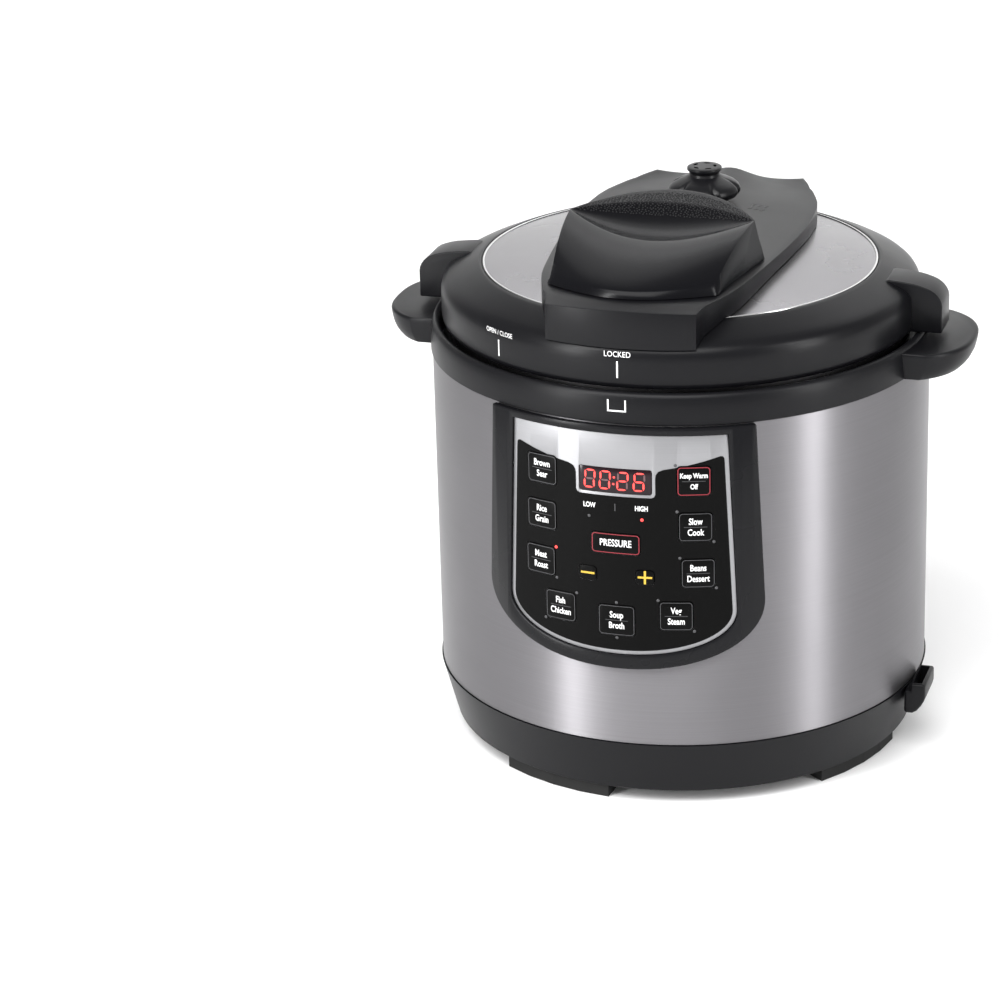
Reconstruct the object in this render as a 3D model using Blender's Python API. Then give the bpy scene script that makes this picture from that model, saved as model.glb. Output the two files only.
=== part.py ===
"""Electric pressure cooker with a bayonet lid: every separate piece as its own solid.

Frame: origin on the floor under the cooker's axis, front (control panel) towards -Y,
right towards +X, up +Z. Lengths are metres; mm turns millimetres into metres.
"""
import math

import bmesh
import bpy
from mathutils import Matrix, Vector

mm = 0.001

# ---- driving dimensions -------------------------------------------------------------
GAP = 0.3 * mm                  # clearance between pieces that touch or rest on each other
SEGMENTS = 48                   # facets round the axis; shared, so that facets line up

SLEEVE_R = 146.0 * mm           # brushed steel sleeve, outside
SLEEVE_WALL = 1.0 * mm
BASE_TOP = 41.5 * mm            # where the sleeve stands on the base
SLEEVE_TOP = 236.7 * mm         # where the collar sits on the sleeve
COLLAR_TOP = 254.7 * mm
FOOT_HEIGHT = 8.6 * mm
BASE_R = 138.4 * mm             # base ring at its lower edge
FOOT_AZIMUTHS = (-20.0, 66.5, 160.0, 246.5)   # degrees from the front, positive to the right

HANDLE_REACH = 175.0 * mm       # tip of each side handle
HANDLE_TOP = 252.3 * mm
LID_R = 140.0 * mm              # outside of the plastic lid ring
PLATE_R = 115.3 * mm            # rim of the steel lid plate that shows
PLATE_RIM_Z = 287.5 * mm
PLATE_CROWN = 8.5 * mm          # how much the plate's centre stands above its rim
PLATE_WALL = 1.5 * mm
EAR_REACH = 157.0 * mm          # tip of each lid ear
EAR_HALF_WIDTH = 12.0 * mm

POT_R = 111.8 * mm              # removable cooking pot, outside
POT_BOTTOM = 96.0 * mm
LINER_R = 116.5 * mm            # fixed outer pot, outside
LINER_BOTTOM = 62.0 * mm
LINER_TOP = 251.2 * mm
LUG_R = 130.2 * mm              # bayonet lugs on the fixed outer pot
TOOTH_R = 130.7 * mm            # bayonet teeth in the lid, cut back to clear the lugs

GRIP_CREST = 328.0 * mm         # highest line of the grip
VALVE_Y = 60.0 * mm             # regulating valve and vent pipe axis
FLOAT_XY = (-30.0 * mm, 70.0 * mm)

PANEL_R = 150.0 * mm            # outer surface of the panel bezel
OVERLAY_R = 148.7 * mm          # outer surface of the control panel
KEY_R = 149.2 * mm              # outer surface of the keys
KEY_THICKNESS = 1.9 * mm
KEY_CLEARANCE = 0.35 * mm

# key name: (azimuth in degrees, height, width, height of the key), lengths in mm
KEYS = {
    "key_brown": (-17.1, 204.8, 18.8, 17.6),
    "key_rice": (-17.4, 177.4, 18.8, 17.2),
    "key_meat": (-17.9, 149.4, 18.8, 17.4),
    "key_poultry": (-13.1, 123.4, 18.8, 17.6),
    "key_soup": (0.0, 119.2, 21.0, 18.6),
    "key_vegetables": (13.1, 123.4, 18.8, 17.6),
    "key_desserts": (17.9, 149.4, 18.8, 17.4),
    "key_slow_cook": (17.4, 177.4, 18.8, 17.2),
    "key_keep_warm": (17.1, 204.8, 18.8, 17.6),
    "key_pressure": (0.0, 165.9, 28.0, 12.6),
    "key_minus": (-6.4, 146.6, 10.5, 8.5),
    "key_plus": (6.4, 146.6, 10.5, 8.5),
}


# ---- helpers ------------------------------------------------------------------------
def clear_scene():
    for obj in list(bpy.data.objects):
        bpy.data.objects.remove(obj, do_unlink=True)


def material(name, color, roughness, metallic=0.0):
    mat = bpy.data.materials.get(name)
    if mat is None:
        mat = bpy.data.materials.new(name)
        mat.use_nodes = True
        shader = mat.node_tree.nodes["Principled BSDF"]
        shader.inputs["Base Color"].default_value = (*color, 1.0)
        shader.inputs["Roughness"].default_value = roughness
        shader.inputs["Metallic"].default_value = metallic
    return mat


def black_plastic():
    return material("black_plastic", (0.021, 0.021, 0.023), 0.45)


def gloss_black():
    return material("gloss_black", (0.012, 0.012, 0.013), 0.2)


def brushed_steel():
    return material("brushed_steel", (0.62, 0.62, 0.63), 0.35, 1.0)


def plain_steel():
    return material("plain_steel", (0.55, 0.55, 0.56), 0.3, 1.0)


def aluminium():
    return material("aluminium", (0.72, 0.73, 0.74), 0.35, 1.0)


def rubber(name="rubber", color=(0.03, 0.03, 0.03)):
    return material(name, color, 0.85)


def board_green():
    return material("circuit_board", (0.03, 0.16, 0.07), 0.55)


def finish(name, bm, mat, sharp_degrees=35.0):
    """Turn the bmesh into the object called name, closed and facing outwards."""
    bmesh.ops.remove_doubles(bm, verts=bm.verts, dist=1e-6)
    bmesh.ops.recalc_face_normals(bm, faces=bm.faces)
    mesh = bpy.data.meshes.new(name)
    bm.to_mesh(mesh)
    bm.free()
    mesh.shade_smooth()
    mesh.set_sharp_from_angle(angle=math.radians(sharp_degrees))
    mesh.materials.append(mat)
    obj = bpy.data.objects.new(name, mesh)
    bpy.context.scene.collection.objects.link(obj)
    return obj


def turned(name, profile, mat, segments=SEGMENTS, centre=(0.0, 0.0)):
    """Spin a profile of (radius, z) in mm; it is closed through the axis or on itself."""
    bm = bmesh.new()
    verts = [bm.verts.new((r * mm, 0.0, z * mm)) for r, z in profile]
    pairs = list(zip(verts, verts[1:]))
    if profile[0][0] > 0.0:
        pairs.append((verts[-1], verts[0]))
    edges = [bm.edges.new(pair) for pair in pairs]
    bmesh.ops.spin(bm, geom=verts + edges, cent=(0, 0, 0), axis=(0, 0, 1),
                   angle=2 * math.pi, steps=segments, use_merge=True)
    bmesh.ops.remove_doubles(bm, verts=bm.verts, dist=1e-6)
    bmesh.ops.translate(bm, verts=bm.verts, vec=(centre[0], centre[1], 0.0))
    return finish(name, bm, mat)


def extrude_outline(outline, low, high, axis="z"):
    """Solid between two copies of a plane outline, in metres, along z or y."""
    bm = bmesh.new()
    if axis == "z":
        verts = [bm.verts.new((a, b, low)) for a, b in outline]
        step = Vector((0, 0, high - low))
    else:
        verts = [bm.verts.new((a, low, b)) for a, b in outline]
        step = Vector((0, high - low, 0))
    face = bm.faces.new(verts)
    top = bmesh.ops.extrude_face_region(bm, geom=[face])
    moved = [item for item in top["geom"] if isinstance(item, bmesh.types.BMVert)]
    bmesh.ops.translate(bm, verts=moved, vec=step)
    bmesh.ops.recalc_face_normals(bm, faces=bm.faces)
    return bm


def box_mesh(low, high):
    outline = [(low[0], low[1]), (high[0], low[1]), (high[0], high[1]), (low[0], high[1])]
    outline = [(x * mm, y * mm) for x, y in outline]
    return extrude_outline(outline, low[2] * mm, high[2] * mm)


def box(name, low, high, mat, bevel=0.0):
    bm = box_mesh(low, high)
    if bevel:
        bmesh.ops.bevel(bm, geom=bm.edges, offset=bevel * mm, segments=1, affect="EDGES")
    return finish(name, bm, mat)


def rod(name, x, y, radius, low, high, mat, sides=12):
    """Upright cylinder, in mm."""
    outline = [((x + radius * math.cos(2 * math.pi * i / sides)) * mm,
                (y + radius * math.sin(2 * math.pi * i / sides)) * mm) for i in range(sides)]
    return finish(name, extrude_outline(outline, low * mm, high * mm), mat)


def combine(target, tools, operation):
    """Apply a Boolean of each tool to the target and delete the tools."""
    for tool in tools:
        modifier = target.modifiers.new(operation.lower(), "BOOLEAN")
        modifier.operation = operation
        modifier.solver = "EXACT"
        modifier.object = tool
        graph = bpy.context.evaluated_depsgraph_get()
        graph.update()
        mesh = bpy.data.meshes.new_from_object(target.evaluated_get(graph))
        target.modifiers.remove(modifier)
        target.data = mesh
        bpy.data.objects.remove(tool, do_unlink=True)
    return target


def polar(radius, azimuth):
    """Point at an azimuth in degrees from the front, positive towards +X."""
    angle = math.radians(azimuth)
    return radius * math.sin(angle), -radius * math.cos(angle)


def rounded_rectangle(width, height, corner, steps=3):
    points = []
    for turn, (sx, sz) in enumerate(((1, 1), (-1, 1), (-1, -1), (1, -1))):
        for i in range(steps + 1):
            angle = math.pi / 2 * (turn + i / steps)
            points.append((sx * (width / 2 - corner) + corner * math.cos(angle),
                           sz * (height / 2 - corner) + corner * math.sin(angle)))
    return points


def shield_outline(top_half, side_half, top, waist, bottom, steps=14):
    """Panel outline: nearly straight sides and a round lower edge (a superellipse)."""
    power = 2.0 / 2.15
    points = [(top_half, top)]
    for i in range(steps + 1):
        angle = math.pi * i / steps
        across = math.copysign(abs(math.cos(angle)) ** power, math.cos(angle))
        points.append((side_half * across, waist - (waist - bottom) * math.sin(angle) ** power))
    points.append((-top_half, top))
    return points


def wrap(bm, degrees=7.5):
    """Bend a flat solid (x = arc length, y = -radius) round the cooker's axis.

    Arc length is measured on the sleeve's radius."""
    half = max(abs(v.co.x) for v in bm.verts)
    step = math.radians(degrees) * SLEEVE_R
    count = int(half / step) + 1
    for i in range(-count, count + 1):
        geom = list(bm.verts) + list(bm.edges) + list(bm.faces)
        bmesh.ops.bisect_plane(bm, geom=geom, dist=1e-7, plane_co=(i * step, 0, 0),
                               plane_no=(1, 0, 0))
    for vert in bm.verts:
        angle = vert.co.x / SLEEVE_R
        radius = -vert.co.y
        vert.co.x = radius * math.sin(angle)
        vert.co.y = -radius * math.cos(angle)


def curved_plate(name, outline, inner_r, outer_r, mat, holes=()):
    """Plate bent round the axis, with holes given as further outlines."""
    flat = finish(name, extrude_outline(outline, -outer_r, -inner_r, axis="y"), mat)
    margin = 5 * mm
    tools = [finish("hole", extrude_outline(hole, -outer_r - margin, -inner_r + margin, axis="y"), mat)
             for hole in holes]
    combine(flat, tools, "DIFFERENCE")
    bm = bmesh.new()
    bm.from_mesh(flat.data)
    bpy.data.objects.remove(flat, do_unlink=True)
    wrap(bm)
    return finish(name, bm, mat)


def slab(name, plan, top, bottom, across, along, mat):
    """Solid between two height fields over a grid of plan points.

    plan, top and bottom take (u, v), u from -1 to 1 across and v from 0 to 1 along.
    top and bottom return x, y, z in mm."""
    bm = bmesh.new()
    layers = []
    for surface in (bottom, top):
        rows = []
        for j in range(along + 1):
            v = j / along
            row = [bm.verts.new([c * mm for c in surface(plan(-1 + 2 * i / across, v))])
                   for i in range(across + 1)]
            rows.append(row)
        layers.append(rows)
    for rows in layers:
        for j in range(along):
            for i in range(across):
                bm.faces.new((rows[j][i], rows[j][i + 1], rows[j + 1][i + 1], rows[j + 1][i]))
    low, high = layers
    edge_low = low[0] + [row[-1] for row in low[1:]] + low[-1][-2::-1] + [row[0] for row in low[-2:0:-1]]
    edge_high = high[0] + [row[-1] for row in high[1:]] + high[-1][-2::-1] + [row[0] for row in high[-2:0:-1]]
    count = len(edge_low)
    for i in range(count):
        k = (i + 1) % count
        bm.faces.new((edge_low[i], edge_low[k], edge_high[k], edge_high[i]))
    return finish(name, bm, mat, sharp_degrees=40.0)


def between(table, x):
    """Straight-line interpolation in a short table of (x, value)."""
    if x <= table[0][0]:
        return table[0][1]
    for (x0, y0), (x1, y1) in zip(table, table[1:]):
        if x <= x1:
            return y0 + (y1 - y0) * (x - x0) / (x1 - x0)
    return table[-1][1]


# ---- base ---------------------------------------------------------------------------
def make_base():
    top = BASE_TOP / mm - 0.2
    profile = [(112.3, 8.6), (BASE_R / mm, 8.6), (146.8, top), (144.6, top), (144.6, 46.0),
               (142.0, 46.0), (142.0, top - 1.5), (134.5, 13.4), (98.0, 13.4), (98.0, 11.2),
               (112.3, 11.2)]
    base = turned("base_shell", profile, black_plastic())
    combine(base, [side_pocket_block()], "UNION")
    inlet_hole = finish("inlet_hole", box_mesh((-15, 120, 14.6), (15, 150, 35.4)), black_plastic())
    pocket_low, pocket_high = (148.4, -34.5, 34.0), (153.8, -9.5, 50.0)
    pocket = finish("pocket", box_mesh(pocket_low, pocket_high), black_plastic())
    screws = [rod("screw_hole", x, y, 2.3, 10.0, 15.0, black_plastic(), 8)
              for x, y in bottom_screw_places()]
    combine(base, [inlet_hole, pocket] + screws, "DIFFERENCE")


def side_pocket_block():
    """Open-topped pocket moulded on the right of the base."""
    side = [(143.5, 26.5), (148.5, 26.5), (153.6, 31.5), (156.0, 37.5), (156.0, 45.5),
            (146.9, 45.5), (146.9, 40.8), (143.5, 40.8)]
    bm = bmesh.new()
    verts = [bm.verts.new((r * mm, -37.0 * mm, z * mm)) for r, z in side]
    face = bm.faces.new(verts)
    moved = bmesh.ops.extrude_face_region(bm, geom=[face])
    verts = [item for item in moved["geom"] if isinstance(item, bmesh.types.BMVert)]
    bmesh.ops.translate(bm, verts=verts, vec=(0, 30.0 * mm, 0))
    return finish("pocket_block", bm, black_plastic())


def bottom_screw_places():
    return [polar(105.0, 24.0 + 90.0 * i) for i in range(4)]


def make_bottom_cover():
    cover = turned("bottom_cover", [(0, 8.9), (111.9, 8.9), (111.9, 10.9), (0, 10.9)], black_plastic())
    slots = []
    for i in range(12):
        bm = box_mesh((55, -2.5, 5), (88, 2.5, 15))
        bmesh.ops.rotate(bm, verts=bm.verts, matrix=Matrix.Rotation(math.radians(30 * i + 9), 3, "Z"))
        slots.append(finish("slot", bm, black_plastic()))
    screws = [rod("screw_hole", x, y, 2.4, 5.0, 15.0, black_plastic(), 8)
              for x, y in bottom_screw_places()]
    combine(cover, slots + screws, "DIFFERENCE")


def make_bottom_screws():
    profile = [(0, 6.9), (4.0, 6.9), (4.0, 8.6), (1.9, 8.6), (1.9, 16.0), (0, 16.0)]
    for i, (x, y) in enumerate(bottom_screw_places()):
        turned("bottom_screw_%d" % (i + 1), profile, plain_steel(), 8, (x * mm, y * mm))


def make_feet():
    """Wide arc feet under the edge of the base."""
    half_span, inner, outer = 15.5, 114.0, 135.0
    for i, middle in enumerate(FOOT_AZIMUTHS):
        steps = [middle + half_span * (-1 + 2 * k / 4) for k in range(5)]
        outline = [polar(outer * mm, a) for a in steps] + [polar(inner * mm, a) for a in reversed(steps)]
        bm = extrude_outline(outline, 0.0, FOOT_HEIGHT - GAP)
        finish("foot_%d" % (i + 1), bm, rubber())


def make_inlet():
    """Appliance inlet at the back, with its three pins."""
    socket = box("inlet_socket", (-14.6, 116, 15), (14.6, 139.5, 35), gloss_black())
    cavity = finish("cavity", box_mesh((-11.5, 124, 17), (11.5, 145, 33)), gloss_black())
    combine(socket, [cavity], "DIFFERENCE")
    for i, x in enumerate((-7.0, 0.0, 7.0)):
        box("inlet_pin_%d" % (i + 1), (x - 1, 124.3, 20.5), (x + 1, 137, 24.5), plain_steel())


# ---- housing ------------------------------------------------------------------------
def make_sleeve():
    low, high = BASE_TOP / mm + 0.3, SLEEVE_TOP / mm - 0.3
    outer, inner = SLEEVE_R / mm, (SLEEVE_R - SLEEVE_WALL) / mm
    sleeve = turned("outer_sleeve", [(inner, low), (outer, low), (outer, high), (inner, high)],
                    brushed_steel())
    window = finish("window", box_mesh((-58, -160, 109), (58, -110, 223)), brushed_steel())
    combine(sleeve, [window], "DIFFERENCE")


def handle_outline(inset):
    """D-shaped outline of the right-hand handle, in mm, its inner side on the collar."""
    reach, half, start, power = HANDLE_REACH / mm - inset, 48.0 - 0.3 * inset, 120.0, 2.0 / 2.5
    points = []
    steps = 14
    for i in range(steps + 1):
        angle = math.radians(-58.0 + 116.0 * i / steps)
        across = math.copysign(abs(math.sin(angle)) ** power, math.sin(angle))
        points.append((start + (reach - start) * math.cos(angle) ** power, half * across))
    end = math.degrees(math.asin(points[-1][1] / 144.2))
    for i in range(7):
        azimuth = math.radians(end * (1 - i / 3))
        points.append((144.2 * math.cos(azimuth), 144.2 * math.sin(azimuth)))
    return points


def handle_block(side):
    """Flat side handle with a tapered underside; side is 1 for right, -1 for left."""
    top = HANDLE_TOP / mm
    levels = [(236.9, 6.0), (243.0, 1.5), (top - 1.8, 0.0), (top, 1.8)]
    bm = bmesh.new()
    rings = []
    for z, inset in levels:
        rings.append([bm.verts.new((side * x * mm, y * mm, z * mm)) for x, y in handle_outline(inset)])
    for lower, upper in zip(rings, rings[1:]):
        count = len(lower)
        for i in range(count):
            k = (i + 1) % count
            bm.faces.new((lower[i], lower[k], upper[k], upper[i]))
    bm.faces.new(rings[0])
    bm.faces.new(rings[-1])
    return finish("handle_block", bm, black_plastic())


def make_collar():
    top = COLLAR_TOP / mm
    profile = [(118.6, 236.9), (140.5, 236.9), (140.5, 230.0), (144.5, 230.0), (144.5, 236.7),
               (147.0, 236.7), (146.9, 245.0), (146.0, 252.5), (144.2, top), (142.0, top),
               (141.0, 252.5), (141.0, 239.5), (118.6, 239.5)]
    collar = turned("top_collar", profile, black_plastic())
    combine(collar, [handle_block(1), handle_block(-1)], "UNION")


# ---- pots, heater and sensor ----------------------------------------------------------
def lug_wave(azimuth, phase=0.0):
    """True on the lugs: six of 30 degrees, with equal spaces."""
    return (azimuth + phase) % 60.0 < 30.001


def reshape_rim(obj, low, high, limit, spaces_r):
    """Move the lugs' ends in at the spaces; limit tests the radius of the vertices to move."""
    for vert in obj.data.vertices:
        radius = math.hypot(vert.co.x, vert.co.y)
        if low * mm < vert.co.z < high * mm and limit(radius):
            azimuth = math.degrees(math.atan2(vert.co.y, vert.co.x)) % 360.0
            if not lug_wave(round(azimuth, 3)):
                vert.co.x *= spaces_r / radius
                vert.co.y *= spaces_r / radius


def make_outer_pot():
    r, low, top = LINER_R / mm, LINER_BOTTOM / mm, LINER_TOP / mm
    lug = LUG_R / mm
    profile = [(20, low), (108, low), (r, low + 8), (r, 248.8), (lug, 248.8), (lug, top),
               (r - 2, top), (r - 2, low + 9), (107, low + 2), (20, low + 2)]
    pot = turned("outer_pot", profile, aluminium())
    reshape_rim(pot, 248.0, 252.0, lambda radius: radius > 128 * mm, 126.5 * mm)


def make_cooking_pot():
    r, low = POT_R / mm, POT_BOTTOM / mm
    profile = [(0, low), (98, low), (107, low + 2.5), (r, low + 8), (r, 251.6), (120.5, 251.6),
               (121.3, 253.4), (120.5, 255.2), (r - 1.5, 255.2), (r - 1.5, low + 9),
               (105.5, low + 3.8), (97.5, low + 1.6), (0, low + 1.6)]
    turned("cooking_pot", profile, plain_steel())


def make_heater():
    low = LINER_BOTTOM / mm + 2.3
    profile = [(15, 86), (60, 84), (60, low), (66, low), (66, 84), (86, 86), (88, 95.7), (15, 95.7)]
    turned("heating_plate", profile, aluminium(), 36)


def make_sensor():
    cap = [(0, 57), (3, 57), (3, 84), (13.5, 84), (14, 86), (14, 95.2), (13, 95.6), (0, 95.6)]
    turned("sensor_cap", cap, aluminium(), 16)
    bracket = [(3.6, 60), (30, 60), (30, 61.6), (3.6, 61.6)]
    turned("sensor_bracket", bracket, plain_steel(), 16)
    make_sensor_spring()


def make_sensor_spring():
    turns, radius, wire, low, high = 4, 8.0, 0.9, 62.9, 82.8
    steps, sides = 12 * turns, 5
    bm = bmesh.new()
    rings = []
    for i in range(steps + 1):
        angle = 2 * math.pi * turns * i / steps
        centre = Vector((radius * math.cos(angle), radius * math.sin(angle),
                         low + (high - low) * i / steps))
        outward = Vector((math.cos(angle), math.sin(angle), 0))
        ring = []
        for k in range(sides):
            turn = 2 * math.pi * k / sides
            point = centre + wire * (outward * math.cos(turn) + Vector((0, 0, math.sin(turn))))
            ring.append(bm.verts.new(point * mm))
        rings.append(ring)
    for first, second in zip(rings, rings[1:]):
        for k in range(sides):
            n = (k + 1) % sides
            bm.faces.new((first[k], first[n], second[n], second[k]))
    bm.faces.new(rings[0])
    bm.faces.new(rings[-1])
    finish("sensor_spring", bm, plain_steel())


def make_undercarriage():
    """What lies between the fixed pot and the bottom cover."""
    box("elastic_beam", (-72, -11, 51), (72, 11, 53.5), plain_steel())
    box("pressure_switch", (38, -10, 32), (60, 10, 50.7), gloss_black(), 1.0)
    rod("thermal_fuse", -62, 30, 4.0, 56.0, 61.6, plain_steel(), 10)
    box("power_board", (-50, -105, 22), (50, -28, 23.6), board_green())
    tape = material("transformer_yellow", (0.6, 0.42, 0.05), 0.5)
    box("transformer", (-40, -95, 24), (-8, -62, 48), tape, 1.0)
    box("relay", (12, -92, 24), (38, -66, 42), material("relay_blue", (0.03, 0.08, 0.35), 0.4), 1.0)
    box("control_board", (-56, -131.5, 110), (56, -130, 222), board_green())
    case = material("display_body", (0.7, 0.7, 0.68), 0.5)
    box("display_module", (-25, -140, 191), (25, -131.8, 216), case)


# ---- control panel ----------------------------------------------------------------------
def on_sleeve(azimuth, height):
    """Arc length and height, in metres, of a place on the panel."""
    return math.radians(azimuth) * SLEEVE_R, height * mm


def key_outline(azimuth, height, width, tall, grow=0.0):
    s, z = on_sleeve(azimuth, height)
    shrink = SLEEVE_R / KEY_R
    points = rounded_rectangle(width * mm * shrink + 2 * grow, tall * mm + 2 * grow, 2.2 * mm + grow)
    return [(s + a, z + b) for a, b in points]


def window_outline(grow=0.0):
    points = rounded_rectangle(41.0 * mm + 2 * grow, 14.4 * mm + 2 * grow, 1.2 * mm + grow, 2)
    return [(a, 203.6 * mm + b) for a, b in points]


def overlay_outline(grow=0.0):
    points = shield_outline(62.0, 67.0, 231.4, 126.0, 98.6)
    middle = 165.0
    return [((x + math.copysign(grow, x)) * mm, (z + (grow if z > middle else -grow)) * mm)
            for x, z in points]


def make_panel():
    bezel = [(x * mm, z * mm) for x, z in shield_outline(78.0, 83.2, 236.3, 131.0, 89.6)]
    curved_plate("panel_bezel", bezel, SLEEVE_R + GAP, PANEL_R, gloss_black(), [overlay_outline(0.4)])
    holes = [key_outline(*KEYS[name], grow=KEY_CLEARANCE) for name in KEYS]
    holes.append(window_outline(KEY_CLEARANCE))
    curved_plate("control_panel", overlay_outline(), SLEEVE_R + GAP, OVERLAY_R,
                 material("panel_print", (0.02, 0.02, 0.022), 0.3), holes)
    curved_plate("display_window", window_outline(), OVERLAY_R - 1.9 * mm, OVERLAY_R - 0.1 * mm,
                 material("display_red", (0.12, 0.005, 0.005), 0.1))
    for name, place in KEYS.items():
        curved_plate(name, key_outline(*place), KEY_R - KEY_THICKNESS, KEY_R,
                     material("key_black", (0.018, 0.018, 0.02), 0.35))


# ---- lid --------------------------------------------------------------------------------
def plate_z(radius):
    """Height of the lid plate's upper surface, in mm, at a radius in mm."""
    return (PLATE_RIM_Z + PLATE_CROWN) / mm - PLATE_CROWN / mm * (radius * mm / PLATE_R) ** 2


def make_lid_plate():
    wall = PLATE_WALL / mm
    dome = [(r, plate_z(r)) for r in (0, 45, 80, 105)]
    outer = dome + [(114.6, plate_z(114.6)), (118.0, 283.0), (124.0, 276.0), (131.0, 270.0),
                    (134.3, 264.0), (134.4, 243.5)]
    tooth = TOOTH_R / mm
    inner = [(tooth, 243.5), (tooth, 245.3), (132.8, 245.6), (132.8, 263.4), (129.6, 268.8),
             (122.7, 274.8), (116.6, 282.0), (113.2, plate_z(113.2) - wall)]
    inner += [(r, z - wall) for r, z in reversed(dome)]
    plate = turned("lid_plate", outer + inner, plain_steel())
    reshape_rim(plate, 243.0, 245.4, lambda radius: radius < 132 * mm, 132.6 * mm)
    holes = [rod("hole", x, y, radius, 280, 300, plain_steel(), 12) for x, y, radius in lid_holes()]
    combine(plate, holes, "DIFFERENCE")


def lid_screw_places():
    return [(0.0, -62.0), (0.0, 98.0)]


def lid_holes():
    """Holes in the lid plate: vent pipe, float valve and the two handle screws."""
    places = [(0.0, VALVE_Y / mm, 4.9), (FLOAT_XY[0] / mm, FLOAT_XY[1] / mm, 3.3)]
    return places + [(x, y, 2.5) for x, y in lid_screw_places()]


def make_lid_ring():
    r = LID_R / mm
    profile = [(134.8, 255.2), (139.0, 255.2), (r, 258.5), (r, 271.0), (139.0, 277.0), (136.2, 279.6),
               (129.5, 282.8), (122.0, 286.0), (117.0, 288.0), (115.8, 287.7), (115.6, 286.9),
               (118.5, 283.4), (124.5, 276.4), (131.5, 270.4), (134.8, 264.2)]
    ring = turned("lid_ring", profile, black_plastic())
    combine(ring, [ear_block(1), ear_block(-1)], "UNION")


def ear_block(side):
    """Turning lug of the lid above the side handle: level top, rounded outer corner."""
    reach = EAR_REACH / mm
    outline = [(136.6, 255.5), (reach, 255.5), (reach, 271.5), (reach - 1.4, 276.0), (reach - 4.5, 279.6),
               (reach - 9.5, 282.2), (140.0, 284.2), (126.0, 285.6), (123.0, 284.6), (129.0, 278.5),
               (136.6, 272.6)]
    points = [(side * x * mm, z * mm) for x, z in outline]
    width = EAR_HALF_WIDTH
    return finish("ear", extrude_outline(points, -width, width, axis="y"), black_plastic())


def under_bridge(x, y):
    """Height just above the lid's plate and ring, in mm."""
    radius = math.hypot(x, y)
    if radius <= 113.0:
        return plate_z(radius) + 0.5
    shoulder = [(113.0, plate_z(113.0) + 0.5), (115.0, 288.6), (117.5, 288.6), (122.5, 286.6),
                (130.0, 283.4), (136.8, 280.2), (140.2, 277.8)]
    return between(shoulder, radius)


def row_y(x, reach):
    """Rows are straight at the middle, round at the lid's edge, and flatter again at the rear."""
    bend = min(1.0, abs(reach) / 113.0) ** 2
    if reach > REAR_ROUND:
        bend = 1.0 - 0.73 * (reach - REAR_ROUND) / (BRIDGE_ROWS[-1] - REAR_ROUND)
    return math.copysign(math.sqrt(reach * reach - bend * x * x), reach)


# distance of each row of the bridge from the axis, and half the bridge's width there, in mm
BRIDGE_ROWS = [-139.6, -136.5, -130, -122.3, -117.5, -113, -95, -70, -42, -14, 14, 42, 70, 95, 113,
               117.5, 120.3, 123, 126]
REAR_ROUND = 117.5
BRIDGE_HALF_WIDTH = [(-140, 43), (-131, 45), (-121, 51), (-110, 56), (-90, 59.5), (-50, 64), (0, 68),
                     (50, 69), (90, 66), (113, 58), (126, 46)]


def bridge_plan(u, v):
    reach = BRIDGE_ROWS[round(v * (len(BRIDGE_ROWS) - 1))]
    return u, reach, u * between(BRIDGE_HALF_WIDTH, reach)


def bridge_height(u, reach):
    middle = [(-140, 299.5), (-128, 302.5), (-100, 303.5), (75, 303.5)]
    edge = [(-140, 298.5), (-128, 300.5), (-100, 302.0), (75, 301.5)]
    level = between(middle, reach) * (1 - u * u) + between(edge, reach) * u * u
    tail = max(0.0, (reach - 75.0) / (BRIDGE_ROWS[-1] - 75.0))
    wave = 299.6 + 5.4 * math.exp(-(u / 0.32) ** 2) + 1.9 * u ** 4
    return level + (wave - level) * tail


def make_bridge():
    def top(place):
        u, reach, x = place
        return x, row_y(x, reach), bridge_height(u, reach)

    def bottom(place):
        _, reach, x = place
        y = row_y(x, reach)
        return x, y, under_bridge(x, y)

    bridge = slab("handle_bridge", bridge_plan, top, bottom, 8, len(BRIDGE_ROWS) - 1, black_plastic())
    tools = [rod("well", 0, VALVE_Y / mm, 12.0, 285, 320, black_plastic(), 16),
             rod("float_pocket", FLOAT_XY[0] / mm, FLOAT_XY[1] / mm, 4.6, 285, 301.4, black_plastic(), 10)]
    tools += [rod("screw_hole", x, y, 2.4, 285, 299.5, black_plastic(), 8) for x, y in lid_screw_places()]
    combine(bridge, tools, "DIFFERENCE")


def make_grip():
    """Grip over the front half of the bridge: convex front, finger scoop, high crest."""
    def bottom(place):
        u, v = place
        front, rear = -127.5 + 20.5 * u * u, -8.0 - 32.0 * u * u
        y = front + (rear - front) * v
        x = u * between([(-130, 44), (-107, 49), (-40, 60), (0, 61)], y)
        reach = -math.hypot(y, x * abs(y) / 140.0)
        width = between(BRIDGE_HALF_WIDTH, reach)
        return x, y, bridge_height(min(1.0, abs(x) / width), reach) + 0.4

    def top(place):
        u, v = place
        # along the grip: front edge, convex face, lip, scoop, pebbled strip, crest
        front_y, lip_y, crest_y = -126.0 + 20.5 * u * u, -69.0 + 28.0 * u * u, -40.0 * u * u
        lip_z, crest_z = 318.5 + 6.5 * u * u, GRIP_CREST / mm - 3.0 * u * u
        lip_v = 0.5
        if v <= lip_v:
            t = v / lip_v
            y = front_y + (lip_y - front_y) * t
            z = 306.6 + (lip_z - 306.6) * math.sin(t * math.pi / 2) ** 0.85
        else:
            t = (v - lip_v) / (1 - lip_v)
            y = lip_y + (crest_y - lip_y) * t
            scoop = 7.0 * (1 - u * u) * math.sin(math.pi * min(1.0, t * 1.35)) if t < 0.74 else 0.0
            z = lip_z + (crest_z - lip_z) * t - scoop
        x = u * (between([(-130, 42), (-106, 47), (-41, 54), (0, 55)], y))
        return x, y, z

    slab("grip_cover", lambda u, v: (u, v), top, bottom, 8, 12, gloss_black())


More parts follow.
